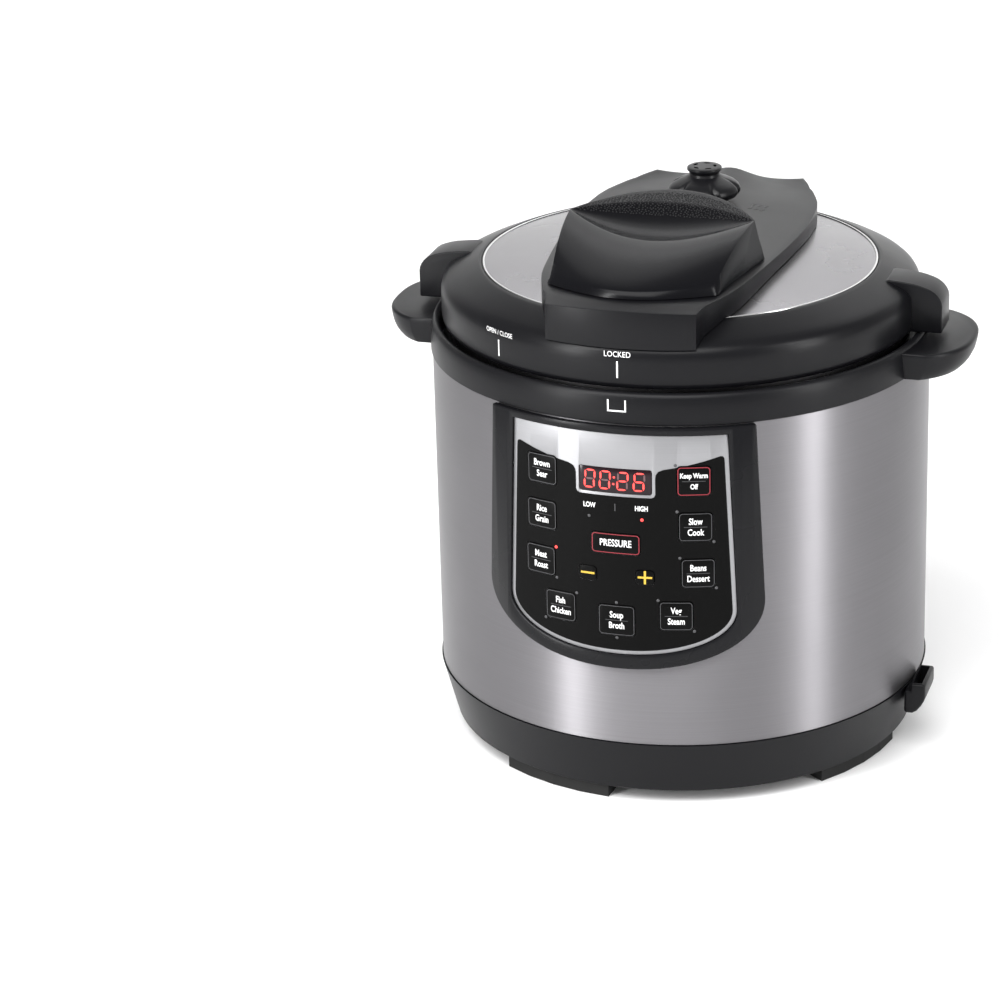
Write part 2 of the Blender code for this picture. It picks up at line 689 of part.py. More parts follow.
def make_lid_fittings():
    vent = (0.0, VALVE_Y)
    pipe = [(1.6, 282.0), (5.0, 282.0), (5.0, 288.4), (7.5, 288.4), (7.5, 290.4), (4.5, 290.4),
            (4.5, 314.0), (1.6, 314.0)]
    turned("vent_pipe", pipe, plain_steel(), 12, vent)
    turned("vent_nut", [(5.4, 294.4), (8.5, 294.4), (8.5, 298.0), (5.4, 298.0)], plain_steel(), 6, vent)
    shield = [(0, 276.0), (10, 276.0), (10, 288.0), (8.8, 288.0), (8.8, 277.2), (0, 277.2)]
    turned("anti_block_shield", shield, plain_steel(), 16, vent)
    knob = [(5.4, 306.0), (14.0, 306.0), (20.2, 308.0), (21.5, 311.5), (19.0, 315.0), (11.5, 318.5),
            (9.0, 321.0), (10.4, 323.0), (10.4, 324.8), (0.0, 325.0)]
    knob = [(0.0, 317.5), (5.4, 317.5)] + knob
    turned("regulating_valve", knob, black_plastic(), 20, vent)
    turned("valve_weight", [(0, 314.3), (2.4, 314.3), (4.9, 315.6), (4.9, 317.2), (0, 317.2)],
           plain_steel(), 10, vent)
    pin = [(0, 281.8), (5.2, 281.8), (5.2, 283.6), (2.6, 283.6), (2.6, 297.3), (0, 297.3)]
    turned("float_valve", pin, plain_steel(), 12, FLOAT_XY)
    turned("float_gasket", [(2.9, 283.9), (5.4, 283.9), (5.4, 285.6), (2.9, 285.6)],
           rubber("silicone_red", (0.55, 0.08, 0.05)), 12, FLOAT_XY)
    for i, (x, y) in enumerate(lid_screw_places()):
        under = plate_z(math.hypot(x, y) + 4.0) - PLATE_WALL / mm - 0.4
        screw = [(0, under - 2.4), (4.0, under - 2.4), (4.0, under), (2.0, under), (2.0, 299.0), (0, 299.0)]
        turned("lid_screw_%d" % (i + 1), screw, plain_steel(), 8, (x * mm, y * mm))


def make_seal():
    silicone = material("silicone_clear", (0.75, 0.73, 0.68), 0.5)
    ring = [(111.5, 257.0), (118.5, 255.9), (125.5, 258.0), (127.0, 262.0), (125.8, 267.3), (119.0, 268.2),
            (117.5, 262.5), (111.5, 259.5)]
    turned("sealing_ring", ring, silicone)
    turned("seal_retainer", [(113.0, 264.2), (114.8, 262.8), (116.6, 264.2), (114.8, 265.6)],
           plain_steel(), 36)


def main():
    clear_scene()
    make_base()
    make_bottom_cover()
    make_bottom_screws()
    make_feet()
    make_inlet()
    make_sleeve()
    make_collar()
    make_outer_pot()
    make_cooking_pot()
    make_heater()
    make_sensor()
    make_undercarriage()
    make_panel()
    make_lid_plate()
    make_lid_ring()
    make_bridge()
    make_grip()
    make_lid_fittings()
    make_seal()


main()
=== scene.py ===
import math
import bmesh
import bpy
from mathutils import Matrix, Vector


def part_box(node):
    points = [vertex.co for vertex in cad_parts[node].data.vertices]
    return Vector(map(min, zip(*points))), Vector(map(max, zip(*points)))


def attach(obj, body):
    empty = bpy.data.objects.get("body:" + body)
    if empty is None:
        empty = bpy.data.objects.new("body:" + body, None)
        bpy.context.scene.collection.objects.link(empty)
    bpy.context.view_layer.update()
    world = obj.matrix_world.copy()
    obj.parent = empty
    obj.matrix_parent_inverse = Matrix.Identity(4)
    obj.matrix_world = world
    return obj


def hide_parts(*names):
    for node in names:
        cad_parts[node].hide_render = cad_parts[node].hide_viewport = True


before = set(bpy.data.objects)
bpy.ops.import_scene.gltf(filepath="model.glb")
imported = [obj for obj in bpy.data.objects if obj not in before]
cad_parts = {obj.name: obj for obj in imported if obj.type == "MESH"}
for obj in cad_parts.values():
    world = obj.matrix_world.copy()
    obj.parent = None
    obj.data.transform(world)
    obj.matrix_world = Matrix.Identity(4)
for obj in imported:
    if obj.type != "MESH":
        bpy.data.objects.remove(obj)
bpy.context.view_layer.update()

mm = 0.001
sleeveLow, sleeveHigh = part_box("outer_sleeve")
sleeveRadius = sleeveHigh.x  # arc lengths on the panel are measured on this radius
roundSteps = 192  # facets round the cooker's axis; the tools below take millimetres


def newObject(name, data):
    piece = bpy.data.objects.new(name, data)
    bpy.context.scene.collection.objects.link(piece)
    return piece


def smoothFaces(mesh, angle=35):
    mesh.shade_smooth()
    mesh.set_sharp_from_angle(angle=math.radians(angle))


def meshObject(name, bm, material, smoothAngle=35):
    bmesh.ops.remove_doubles(bm, verts=bm.verts, dist=1e-6)
    bmesh.ops.recalc_face_normals(bm, faces=bm.faces)
    mesh = bpy.data.meshes.new(name)
    bm.to_mesh(mesh)
    bm.free()
    smoothFaces(mesh, smoothAngle)
    mesh.materials.append(material)
    return newObject(name, mesh)


replacedNodes = set()


def placePiece(piece, body, slot, *nodes):
    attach(piece, body)
    if nodes:
        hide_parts(*nodes)
        replacedNodes.update(nodes)


def evaluatedMesh(piece):
    graph = bpy.context.evaluated_depsgraph_get()
    graph.update()
    return bpy.data.meshes.new_from_object(piece.evaluated_get(graph))


def applyModifiers(piece):
    piece.data = evaluatedMesh(piece)
    piece.modifiers.clear()


def softenEdges(piece, width, segments=2, angle=38):
    bevel = piece.modifiers.new("softEdge", "BEVEL")
    bevel.width = width * mm
    bevel.segments = segments
    bevel.limit_method = "ANGLE"
    bevel.angle_limit = math.radians(angle)
    applyModifiers(piece)
    smoothFaces(piece.data, angle)
    return piece


def closeBand(bm, lower, upper):  # faces between two rings, one of which may be a single point
    count = max(len(lower), len(upper))
    for i in range(count):
        k = (i + 1) % count
        corners = (lower[i % len(lower)], lower[k % len(lower)], upper[k % len(upper)], upper[i % len(upper)])
        bm.faces.new(list(dict.fromkeys(corners)))


def gridFaces(bm, rows):
    for lower, upper in zip(rows, rows[1:]):
        for i in range(len(lower) - 1):
            bm.faces.new((lower[i], lower[i + 1], upper[i + 1], upper[i]))


def turned(name, profile, material, steps=roundSteps, centre=(0, 0), smoothAngle=35):
    bm = bmesh.new()
    circles = []
    for radius, z in profile:
        circle = []
        for i in range(steps if radius else 1):  # a point on the axis closes the shape
            angle = 2 * math.pi * i / steps
            circle.append(bm.verts.new(((centre[0] + radius * math.cos(angle)) * mm,
                                        (centre[1] + radius * math.sin(angle)) * mm, z * mm)))
        circles.append(circle)
    pairs = list(zip(circles, circles[1:]))
    if len(circles[0]) > 1:
        pairs.append((circles[-1], circles[0]))
    for lower, upper in pairs:
        closeBand(bm, lower, upper)
    return meshObject(name, bm, material, smoothAngle)


def extruded(outline, low, high, axis="z"):
    bm = bmesh.new()
    if axis == "z":
        verts = [bm.verts.new((a * mm, b * mm, low * mm)) for a, b in outline]
        step = Vector((0, 0, (high - low) * mm))
    else:
        verts = [bm.verts.new((a * mm, low * mm, b * mm)) for a, b in outline]
        step = Vector((0, (high - low) * mm, 0))
    moved = bmesh.ops.extrude_face_region(bm, geom=[bm.faces.new(verts)])
    bmesh.ops.translate(bm, verts=[v for v in moved["geom"] if isinstance(v, bmesh.types.BMVert)], vec=step)
    return bm


def rectangle(left, low, right, high):
    return [(left, low), (right, low), (right, high), (left, high)]


def rodTool(x, y, radius, low, high, sides=32):
    angles = [2 * math.pi * i / sides for i in range(sides)]
    outline = [(x + radius * math.cos(angle), y + radius * math.sin(angle)) for angle in angles]
    return meshObject("cutter", extruded(outline, low, high), blackPlastic)


def boxTool(low, high):
    outline = rectangle(low[0], low[1], high[0], high[1])
    return meshObject("cutter", extruded(outline, low[2], high[2]), blackPlastic)


def combined(piece, tools, operation):
    for tool in tools:
        modifier = piece.modifiers.new("combine", "BOOLEAN")
        modifier.operation = operation
        modifier.solver = "EXACT"
        modifier.object = tool
        applyModifiers(piece)
        bpy.data.objects.remove(tool, do_unlink=True)
    smoothFaces(piece.data)


def polar(radius, azimuth):
    angle = math.radians(azimuth)
    return radius * math.sin(angle), -radius * math.cos(angle)


def wrapped(s, z, radius):
    angle = s * mm / sleeveRadius
    return Vector((radius * mm * math.sin(angle), -radius * mm * math.cos(angle), z * mm))


def roundedRectangle(width, height, corner, steps=8):
    points = []
    for turn, (sx, sz) in enumerate(((1, 1), (-1, 1), (-1, -1), (1, -1))):
        for i in range(steps + 1):
            angle = math.pi / 2 * (turn + i / steps)
            points.append((sx * (width / 2 - corner) + corner * math.cos(angle),
                           sz * (height / 2 - corner) + corner * math.sin(angle)))
    return points


def shieldOutline(topHalf, sideHalf, top, waist, bottom, steps=48):
    power = 2.0 / 2.15  # a superellipse below the waist
    points = [(topHalf, top)]
    for i in range(steps + 1):
        angle = math.pi * i / steps
        across = math.copysign(abs(math.cos(angle)) ** power, math.cos(angle))
        points.append((sideHalf * across, waist - (waist - bottom) * math.sin(angle) ** power))
    points.append((-topHalf, top))
    return points


def curvedPlate(name, outline, inner, outer, material, holes=(), edge=0.0, step=2.5):
    flat = meshObject(name, extruded(outline, -outer, -inner, "y"), material)
    tools = [meshObject("cutter", extruded(hole, -outer - 5, -inner + 5, "y"), material) for hole in holes]
    combined(flat, tools, "DIFFERENCE")
    if edge:
        softenEdges(flat, edge, 2)
    bm = bmesh.new()
    bm.from_mesh(flat.data)
    bpy.data.objects.remove(flat, do_unlink=True)
    reach = max(abs(v.co.x) for v in bm.verts)
    count = int(reach / (step * mm)) + 1
    for i in range(-count, count + 1):
        geom = list(bm.verts) + list(bm.edges) + list(bm.faces)
        bmesh.ops.bisect_plane(bm, geom=geom, dist=1e-7, plane_co=(i * step * mm, 0, 0), plane_no=(1, 0, 0))
    for vert in bm.verts:
        vert.co = wrapped(vert.co.x / mm, vert.co.z / mm, -vert.co.y / mm)
    return meshObject(name, bm, material)


def between(table, x):
    if x <= table[0][0]:
        return table[0][1]
    for (x0, y0), (x1, y1) in zip(table, table[1:]):
        if x <= x1:
            return y0 + (y1 - y0) * (x - x0) / (x1 - x0)
    return table[-1][1]


def smoothBetween(table, x):
    xs = [row[0] for row in table]
    ys = [row[1] for row in table]
    x = min(max(x, xs[0]), xs[-1])
    last = len(xs) - 1
    i = max(k for k in range(last) if xs[k] <= x)

    def slope(k):
        low, high = max(0, k - 1), min(last, k + 1)
        return (ys[high] - ys[low]) / (xs[high] - xs[low])
    width = xs[i + 1] - xs[i]
    t = (x - xs[i]) / width
    return ((2 * t ** 3 - 3 * t * t + 1) * ys[i] + (t ** 3 - 2 * t * t + t) * width * slope(i)
            + (3 * t * t - 2 * t ** 3) * ys[i + 1] + (t ** 3 - t * t) * width * slope(i + 1))


def slab(name, top, bottom, across, along, material, smoothAngle=40):
    bm = bmesh.new()
    layers = []
    for surface in (bottom, top):
        rows = []
        for j in range(along + 1):
            rows.append([bm.verts.new(Vector(surface(-1 + 2 * i / across, j / along)) * mm)
                         for i in range(across + 1)])
        layers.append(rows)
    rims = []
    for rows in layers:
        gridFaces(bm, rows)
        front, rear = rows[0], rows[-1][-2::-1]
        rims.append(front + [row[-1] for row in rows[1:]] + rear + [row[0] for row in rows[-2:0:-1]])
    closeBand(bm, *rims)
    return meshObject(name, bm, material, smoothAngle)


def node(tree, kind, inputs=None, operation=None):
    added = tree.nodes.new(kind)
    if operation:
        added.operation = operation
    for name, value in (inputs or {}).items():
        added.inputs[name].default_value = value
    return added


plainLook = {"metal": 0.0, "specular": 0.5, "anisotropic": 0.0, "grainTurn": 0.0, "stretch": (1, 1, 1),
             "grain": 2500, "broad": 14, "grainTint": 0.5, "bump": 0.2, "depth": 0.00004,
             "turnedGrain": False, "rough": (0.45, 0.55), "glow": (1, 1, 1), "glowStrength": 0.0}
shadeShare = 0.86  # how dark the second colour is where a finish doesn't give one


def finishMaterial(name, ownLook):
    look = {**plainLook, **ownLook}
    material = bpy.data.materials.new(name)
    material.use_nodes = True
    tree = material.node_tree
    link = tree.links.new
    shader = tree.nodes["Principled BSDF"]
    constants = {"Metallic": look["metal"], "Specular IOR Level": look["specular"],
                 "Anisotropic": look["anisotropic"], "Anisotropic Rotation": look["grainTurn"],
                 "Emission Color": (*look["glow"], 1), "Emission Strength": look["glowStrength"]}
    for socket, value in constants.items():
        shader.inputs[socket].default_value = value
    place = node(tree, "ShaderNodeTexCoord")
    mapping = node(tree, "ShaderNodeMapping", {"Scale": look["stretch"]})
    link(place.outputs["Object"], mapping.inputs["Vector"])
    grain = node(tree, "ShaderNodeTexNoise", {"Scale": look["grain"], "Detail": 3.0, "Roughness": 0.6})
    grainSource = mapping.outputs["Vector"]
    if look["turnedGrain"]:  # rings round the axis: the noise runs along the radius only
        flatten = node(tree, "ShaderNodeVectorMath", {1: (1, 1, 0)}, "MULTIPLY")
        length = node(tree, "ShaderNodeVectorMath", operation="LENGTH")
        rings = node(tree, "ShaderNodeCombineXYZ")
        link(grainSource, flatten.inputs[0])
        link(flatten.outputs["Vector"], length.inputs[0])
        link(length.outputs["Value"], rings.inputs["X"])
        grainSource = rings.outputs["Vector"]
    link(grainSource, grain.inputs["Vector"])
    broad = node(tree, "ShaderNodeTexNoise", {"Scale": look["broad"], "Detail": 4.0, "Roughness": 0.55})
    link(place.outputs["Object"], broad.inputs["Vector"])
    tint = tree.nodes.new("ShaderNodeMix")
    tint.data_type = "RGBA"
    shade = look.get("shade", [c * shadeShare for c in look["colour"]])
    tint.inputs[6].default_value = (*look["colour"], 1)
    tint.inputs[7].default_value = (*shade, 1)
    half = node(tree, "ShaderNodeMath", {1: 0.5}, "MULTIPLY")
    blend = node(tree, "ShaderNodeMath", {1: look["grainTint"]}, "MULTIPLY_ADD")
    link(broad.outputs["Fac"], half.inputs[0])
    link(grain.outputs["Fac"], blend.inputs[0])
    link(half.outputs[0], blend.inputs[2])
    link(blend.outputs[0], tint.inputs[0])
    link(tint.outputs[2], shader.inputs["Base Color"])
    rough = node(tree, "ShaderNodeMapRange", {"From Min": 0.3, "From Max": 0.7,
                                              "To Min": look["rough"][0], "To Max": look["rough"][1]})
    link(broad.outputs["Fac"], rough.inputs["Value"])
    link(rough.outputs["Result"], shader.inputs["Roughness"])
    bump = node(tree, "ShaderNodeBump", {"Strength": look["bump"], "Distance": look["depth"]})
    link(grain.outputs["Fac"], bump.inputs["Height"])
    link(bump.outputs["Normal"], shader.inputs["Normal"])
    return material


finishes = {
    "blackPlastic": {"colour": (0.0045, 0.0045, 0.0055), "rough": (0.34, 0.42), "grain": 2600, "bump": 0.25,
                     "specular": 0.16},
    "lidPlastic": {"colour": (0.0045, 0.0045, 0.0055), "rough": (0.30, 0.37), "grain": 2600, "bump": 0.22,
                   "specular": 0.16},
    "valvePlastic": {"colour": (0.005, 0.005, 0.006), "rough": (0.30, 0.38), "grain": 2600, "bump": 0.2,
                     "specular": 0.2},
    "bezelPlastic": {"colour": (0.005, 0.005, 0.006), "rough": (0.24, 0.30), "grain": 1800, "bump": 0.08,
                     "specular": 0.16},
    "glossPlastic": {"colour": (0.0035, 0.0035, 0.0045), "rough": (0.19, 0.25), "grain": 1500, "bump": 0.06,
                     "specular": 0.11},
    "pebblePlastic": {"colour": (0.007, 0.007, 0.008), "rough": (0.38, 0.46), "grain": 3500, "bump": 0.3,
                      "specular": 0.3},
    "sleeveSteel": {"colour": (0.245, 0.239, 0.25), "shade": (0.187, 0.182, 0.191), "rough": (0.40, 0.45),
                    "metal": 1.0, "anisotropic": 0.88, "grainTurn": 0.25, "stretch": (9, 9, 2600),
                    "grain": 1.0, "bump": 0.35, "depth": 0.00005, "broad": 6, "grainTint": 0.7},
    "plateSteel": {"colour": (0.29, 0.284, 0.295), "shade": (0.24, 0.235, 0.245), "rough": (0.24, 0.30),
                   "metal": 1.0, "grain": 1700, "turnedGrain": True, "bump": 0.25, "depth": 0.00003},
    "panelSilver": {"colour": (0.32, 0.32, 0.33), "shade": (0.27, 0.27, 0.28), "rough": (0.40, 0.45),
                    "metal": 0.85, "stretch": (12, 12, 3000), "grain": 1.0, "bump": 0.2, "grainTint": 0.7},
    "potSteel": {"colour": (0.70, 0.70, 0.70), "rough": (0.18, 0.25), "metal": 1.0, "stretch": (10, 10, 2200),
                 "grain": 1.0, "bump": 0.15},
    "plainSteel": {"colour": (0.60, 0.60, 0.61), "rough": (0.24, 0.32), "metal": 1.0, "grain": 1400,
                   "bump": 0.12},
    "aluminiumSheet": {"colour": (0.74, 0.75, 0.76), "rough": (0.34, 0.42), "metal": 1.0, "grain": 1500,
                       "bump": 0.2},
    "castAluminium": {"colour": (0.62, 0.62, 0.63), "metal": 1.0, "grain": 900,
                      "bump": 0.5, "depth": 0.0001},
    "fieldPrint": {"colour": (0.0015, 0.0015, 0.0015), "rough": (0.30, 0.36), "grain": 3000, "bump": 0.1,
                   "specular": 0.07},
    "keyPlastic": {"colour": (0.0016, 0.0016, 0.0016), "rough": (0.32, 0.38), "grain": 3200, "bump": 0.12,
                   "specular": 0.07},
    "displayGlass": {"colour": (0.010, 0.004, 0.006), "rough": (0.12, 0.17), "grain": 900, "bump": 0.02,
                     "specular": 0.25},
    "litRed": {"colour": (0.85, 0.05, 0.04), "rough": (0.3, 0.36), "grain": 2500, "bump": 0.05,
               "glow": (1.0, 0.06, 0.06), "glowStrength": 0.9},
    "unlitSegment": {"colour": (0.10, 0.045, 0.05), "rough": (0.3, 0.4), "grain": 2500, "bump": 0.05},
    "footRubber": {"colour": (0.010, 0.010, 0.010), "rough": (0.72, 0.85), "grain": 1500, "bump": 0.4,
                   "specular": 0.3},
    "clearSilicone": {"colour": (0.66, 0.64, 0.58), "rough": (0.38, 0.48), "grain": 1200, "bump": 0.1},
    "redSilicone": {"colour": (0.50, 0.07, 0.05), "grain": 1200, "bump": 0.1},
    "boardGreen": {"colour": (0.02, 0.13, 0.06), "rough": (0.40, 0.5), "grain": 700, "bump": 0.2},
    "transformerTape": {"colour": (0.58, 0.40, 0.05), "grain": 900, "bump": 0.2},
    "relayCase": {"colour": (0.03, 0.08, 0.33), "rough": (0.35, 0.45), "grain": 900, "bump": 0.1},
    "moduleCase": {"colour": (0.66, 0.66, 0.64), "grain": 900, "bump": 0.1},
}
printColours = {"whitePrint": (0.78, 0.78, 0.78), "greyPrint": (0.045, 0.045, 0.048),
                "redPrint": (0.22, 0.008, 0.018), "yellowPrint": (0.55, 0.36, 0.03)}
for name, colour in printColours.items():
    finishes[name] = {"colour": colour, "grain": 3000, "bump": 0.1}
made = {name: finishMaterial(name, look) for name, look in finishes.items()}
blackPlastic = made["blackPlastic"]
print("finishes made:", len(made))


# radii and heights in millimetres, from the cooker's axis and the floor
base = {"profile": [(112.3, 8.6), (137.6, 8.6), (138.4, 9.2), (146.8, 41.3), (144.6, 41.3), (144.6, 46.0),
                    (142.0, 46.0), (142.0, 39.8), (134.5, 13.4), (98.0, 13.4), (98.0, 11.2), (112.3, 11.2)],
        "pocket": [(143.5, 26.5), (148.5, 26.5), (151.2, 28.2), (153.6, 31.5), (155.2, 34.4), (156.0, 37.5),
                   (156.0, 45.5), (146.9, 45.5), (146.9, 40.8), (143.5, 40.8)],
        "pocketRound": 1.6, "pocketSpan": (-37.0, -7.0),
        "pocketHollow": ((148.4, -34.5, 34.0), (153.8, -9.5, 50.0)),
        "inletCut": ((-15, 120, 14.6), (15, 150, 35.4)),
        "screws": 4, "screwCircle": 105.0, "screwAzimuth": 24.0, "screwHole": 2.3}


def makeBase():
    shell = turned("baseShell", base["profile"], blackPlastic)
    block = meshObject("cutter", extruded(base["pocket"], *base["pocketSpan"], "y"), blackPlastic)
    softenEdges(block, base["pocketRound"], 3, 60)
    combined(shell, [block], "UNION")
    cuts = [boxTool(*base["pocketHollow"]), boxTool(*base["inletCut"])]
    for i in range(base["screws"]):
        azimuth = base["screwAzimuth"] + 360.0 / base["screws"] * i
        cuts.append(rodTool(*polar(base["screwCircle"], azimuth), base["screwHole"], 10.0, 15.0))
    combined(shell, cuts, "DIFFERENCE")
    placePiece(shell, "root", "black_plastic", "base_shell")


sleeve = {"wall": 1, "panelCut": ((-58, -160, 109), (58, -110, 223))}


def makeSleeve():
    low, high = sleeveLow.z / mm, sleeveHigh.z / mm
    outer = sleeveRadius / mm
    piece = turned("outerSleeve", rectangle(outer - sleeve["wall"], low, outer, high), made["sleeveSteel"])
    combined(piece, [boxTool(*sleeve["panelCut"])], "DIFFERENCE")
    placePiece(piece, "root", "brushed_steel", "outer_sleeve")


collar = {"profile": [(118.6, 236.9), (140.5, 236.9), (140.5, 230.0), (144.5, 230.0), (144.5, 236.7),
                      (146.6, 236.7), (147.0, 237.1), (147.0, 243.0), (146.7, 248.0), (146.1, 251.8),
                      (145.4, 253.5), (144.2, 254.5), (143.2, 254.7), (142.3, 254.4), (141.5, 253.6),
                      (141.0, 252.0), (141.0, 239.5), (118.6, 239.5)],
          "reach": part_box("top_collar")[1].x / mm, "half": 48.0, "start": 120.0, "power": 0.8,
          "sweep": 58.0, "sweepSteps": 72, "rootRadius": 144.2, "rootSteps": 24,
          "levels": [(236.9, 6.0), (238.6, 4.2), (240.6, 2.7), (243.0, 1.5), (246.5, 0.6), (249.4, 0.1),
                     (250.6, 0.0), (251.3, 0.25), (251.9, 0.8), (252.2, 1.5), (252.3, 2.6)]}


def handleBlock(side):
    rings = []
    bm = bmesh.new()
    for z, inset in collar["levels"]:
        reach, half = collar["reach"] - inset, collar["half"] - 0.3 * inset
        outline = []
        for i in range(collar["sweepSteps"] + 1):
            angle = math.radians(-collar["sweep"] + 2 * collar["sweep"] * i / collar["sweepSteps"])
            across = math.copysign(abs(math.sin(angle)) ** collar["power"], math.sin(angle))
            outline.append((collar["start"] + (reach - collar["start"]) * math.cos(angle) ** collar["power"],
                            half * across))
        root = collar["rootRadius"]
        end = math.asin(outline[-1][1] / root)
        for i in range(collar["rootSteps"] + 1):  # back along the collar's own curve
            angle = end * (1 - 2 * i / collar["rootSteps"])
            outline.append((root * math.cos(angle), root * math.sin(angle)))
        rings.append([bm.verts.new((side * x * mm, y * mm, z * mm)) for x, y in outline])
    for lower, upper in zip(rings, rings[1:]):
        closeBand(bm, lower, upper)
    bm.faces.new(rings[0])
    bm.faces.new(rings[-1])
    return meshObject("cutter", bm, blackPlastic)


bayonet = {"pitch": 60.0, "lug": 30.001, "potLugFrom": 0.128, "potGap": 0.1265, "lidLugTo": 0.132,
           "lidLugHeights": (0.243, 0.2454), "lidGap": 0.1326}  # degrees and metres
pots = {"cooking": [(0, 96.0), (98, 96.0), (103.5, 96.7), (107, 98.5), (110.2, 101.3), (111.8, 104.0),
                    (111.8, 251.6), (120.5, 251.6), (121.2, 252.4), (121.3, 253.4), (121.0, 254.6),
                    (120.0, 255.2), (111.6, 255.2), (110.6, 254.7), (110.3, 253.8), (110.3, 105.0),
                    (108.6, 102.2), (105.5, 99.8), (101.5, 98.2), (97.5, 97.6), (0, 97.6)],
        "outer": [(20, 62.0), (108, 62.0), (112.2, 63.4), (115.3, 66.3), (116.5, 70.0), (116.5, 248.8),
                  (130.2, 248.8), (130.2, 251.2), (114.5, 251.2), (114.5, 71.0), (113.4, 67.8),
                  (110.8, 65.2), (107, 64.0), (20, 64.0)],
        "seal": [(111.5, 257.0), (114.8, 256.2), (118.5, 255.9), (122.4, 256.5), (125.5, 258.0),
                 (126.8, 260.2), (127.0, 262.6), (126.7, 265.4), (125.6, 267.2), (122.8, 268.0),
                 (119.6, 268.1), (118.9, 266.0), (118.4, 263.8), (117.2, 262.3), (114.6, 260.7),
                 (111.5, 259.5)]}


def openGaps(piece, isLug, gapRadius):  # the spaces between the bayonet lugs
    for vert in piece.data.vertices:
        radius = math.hypot(vert.co.x, vert.co.y)
        azimuth = math.degrees(math.atan2(vert.co.y, vert.co.x)) % 360.0
        if isLug(radius, vert.co.z) and round(azimuth, 3) % bayonet["pitch"] > bayonet["lug"]:
            vert.co.x *= gapRadius / radius
            vert.co.y *= gapRadius / radius


def makePots():
    pot = turned("cookingPot", pots["cooking"], made["potSteel"])
    placePiece(pot, "root", "polished_steel", "cooking_pot")
    liner = turned("outerPot", pots["outer"], made["aluminiumSheet"])
    openGaps(liner, lambda radius, z: radius > bayonet["potLugFrom"], bayonet["potGap"])
    placePiece(liner, "root", "aluminium", "outer_pot")
    seal = turned("sealingRing", pots["seal"], made["clearSilicone"])
    placePiece(seal, "lid_seal", "clear_silicone", "sealing_ring")


def makeCollar():
    piece = turned("topCollar", collar["profile"], blackPlastic)
    combined(piece, [handleBlock(1), handleBlock(-1)], "UNION")
    placePiece(piece, "root", "black_plastic", "top_collar")


makeBase()
makeSleeve()
makeCollar()
makePots()
print("housing made")


panel = {"bezelOuter": (78.0, 83.2, 236.3, 131.0, 89.6), "overlay": (62.0, 67.0, 231.4, 126.0, 98.6),
         "bezelRadius": -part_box("panel_bezel")[0].y / mm, "overlayRadius": 148.7, "keyRadius": 149.2,
         "backRadius": 146.3, "keyThickness": 1.9, "keyCorner": 2.2,
         "window": (41.0, 14.4, 203.6), "border": 2.0, "gap": 0.35, "bezelGap": 0.4, "bezelEdge": 0.9,
         "keyEdge": 0.3, "printEdge": 0.15, "printLift": 0.05, "windowCorner": 1.2, "middle": 165,
         "fieldSides": (60.4, 64.7, 216.5, 126.0, 100.8),
         "fieldTop": [(60.2, 217.9), (59.4, 218.8), (58.2, 219.0), (49.0, 216.2), (40.0, 213.9),
                      (31.0, 212.2), (27.0, 211.5)]}
keys = {  # azimuth, height, width, tallness, label lines
    "key_brown": (-17.1, 204.8, 18.8, 17.6, ("Brown", "Sear")),
    "key_rice": (-17.4, 177.4, 18.8, 17.2, ("Rice", "Grain")),
    "key_meat": (-17.9, 149.4, 18.8, 17.4, ("Meat", "Roast")),
    "key_poultry": (-13.1, 123.4, 18.8, 17.6, ("Fish", "Chicken")),
    "key_soup": (0.0, 119.2, 21.0, 18.6, ("Soup", "Broth")),
    "key_vegetables": (13.1, 123.4, 18.8, 17.6, ("Veg", "Steam")),
    "key_desserts": (17.9, 149.4, 18.8, 17.4, ("Beans", "Dessert")),
    "key_slow_cook": (17.4, 177.4, 18.8, 17.2, ("Slow", "Cook")),
    "key_keep_warm": (17.1, 204.8, 18.8, 17.6, ("Keep Warm", "Off")),
    "key_pressure": (0.0, 165.9, 28.0, 12.6, ("PRESSURE",)),
    "key_minus": (-6.4, 146.6, 10.5, 8.5, ("-",)),
    "key_plus": (6.4, 146.6, 10.5, 8.5, ("+",)),
}


def shifted(outline, s, z):
    return [(a + s, b + z) for a, b in outline]


def arcLength(azimuth):
    return math.radians(azimuth) * sleeveRadius / mm


def keyOutline(name, grow=0.0):
    azimuth, height, width, tall, _ = keys[name]
    shrink = sleeveRadius / mm / panel["keyRadius"]
    outline = roundedRectangle(width * shrink + 2 * grow, tall + 2 * grow, panel["keyCorner"] + grow)
    return shifted(outline, arcLength(azimuth), height)


def windowOutline(grow=0.0):
    width, tall, height = panel["window"]
    outline = roundedRectangle(width + 2 * grow, tall + 2 * grow, panel["windowCorner"] + grow, 6)
    return shifted(outline, 0, height)


def overlayOutline(grow=0.0):
    return [(x + math.copysign(grow, x), z + (grow if z > panel["middle"] else -grow))
            for x, z in shieldOutline(*panel["overlay"])]


def fieldOutline():
    _, tall, height = panel["window"]
    half, low = panel["window"][0] / 2 + panel["border"], height - tall / 2 - 2.0
    rise = panel["fieldTop"] + [(half + 1.6, 210.2), (half + 0.3, 208.2), (half, 206.0), (half, low + 2.2),
                                (half - 0.7, low + 0.7), (half - 2.2, low)]
    return shieldOutline(*panel["fieldSides"]) + [(-s, z) for s, z in rise] + rise[::-1]


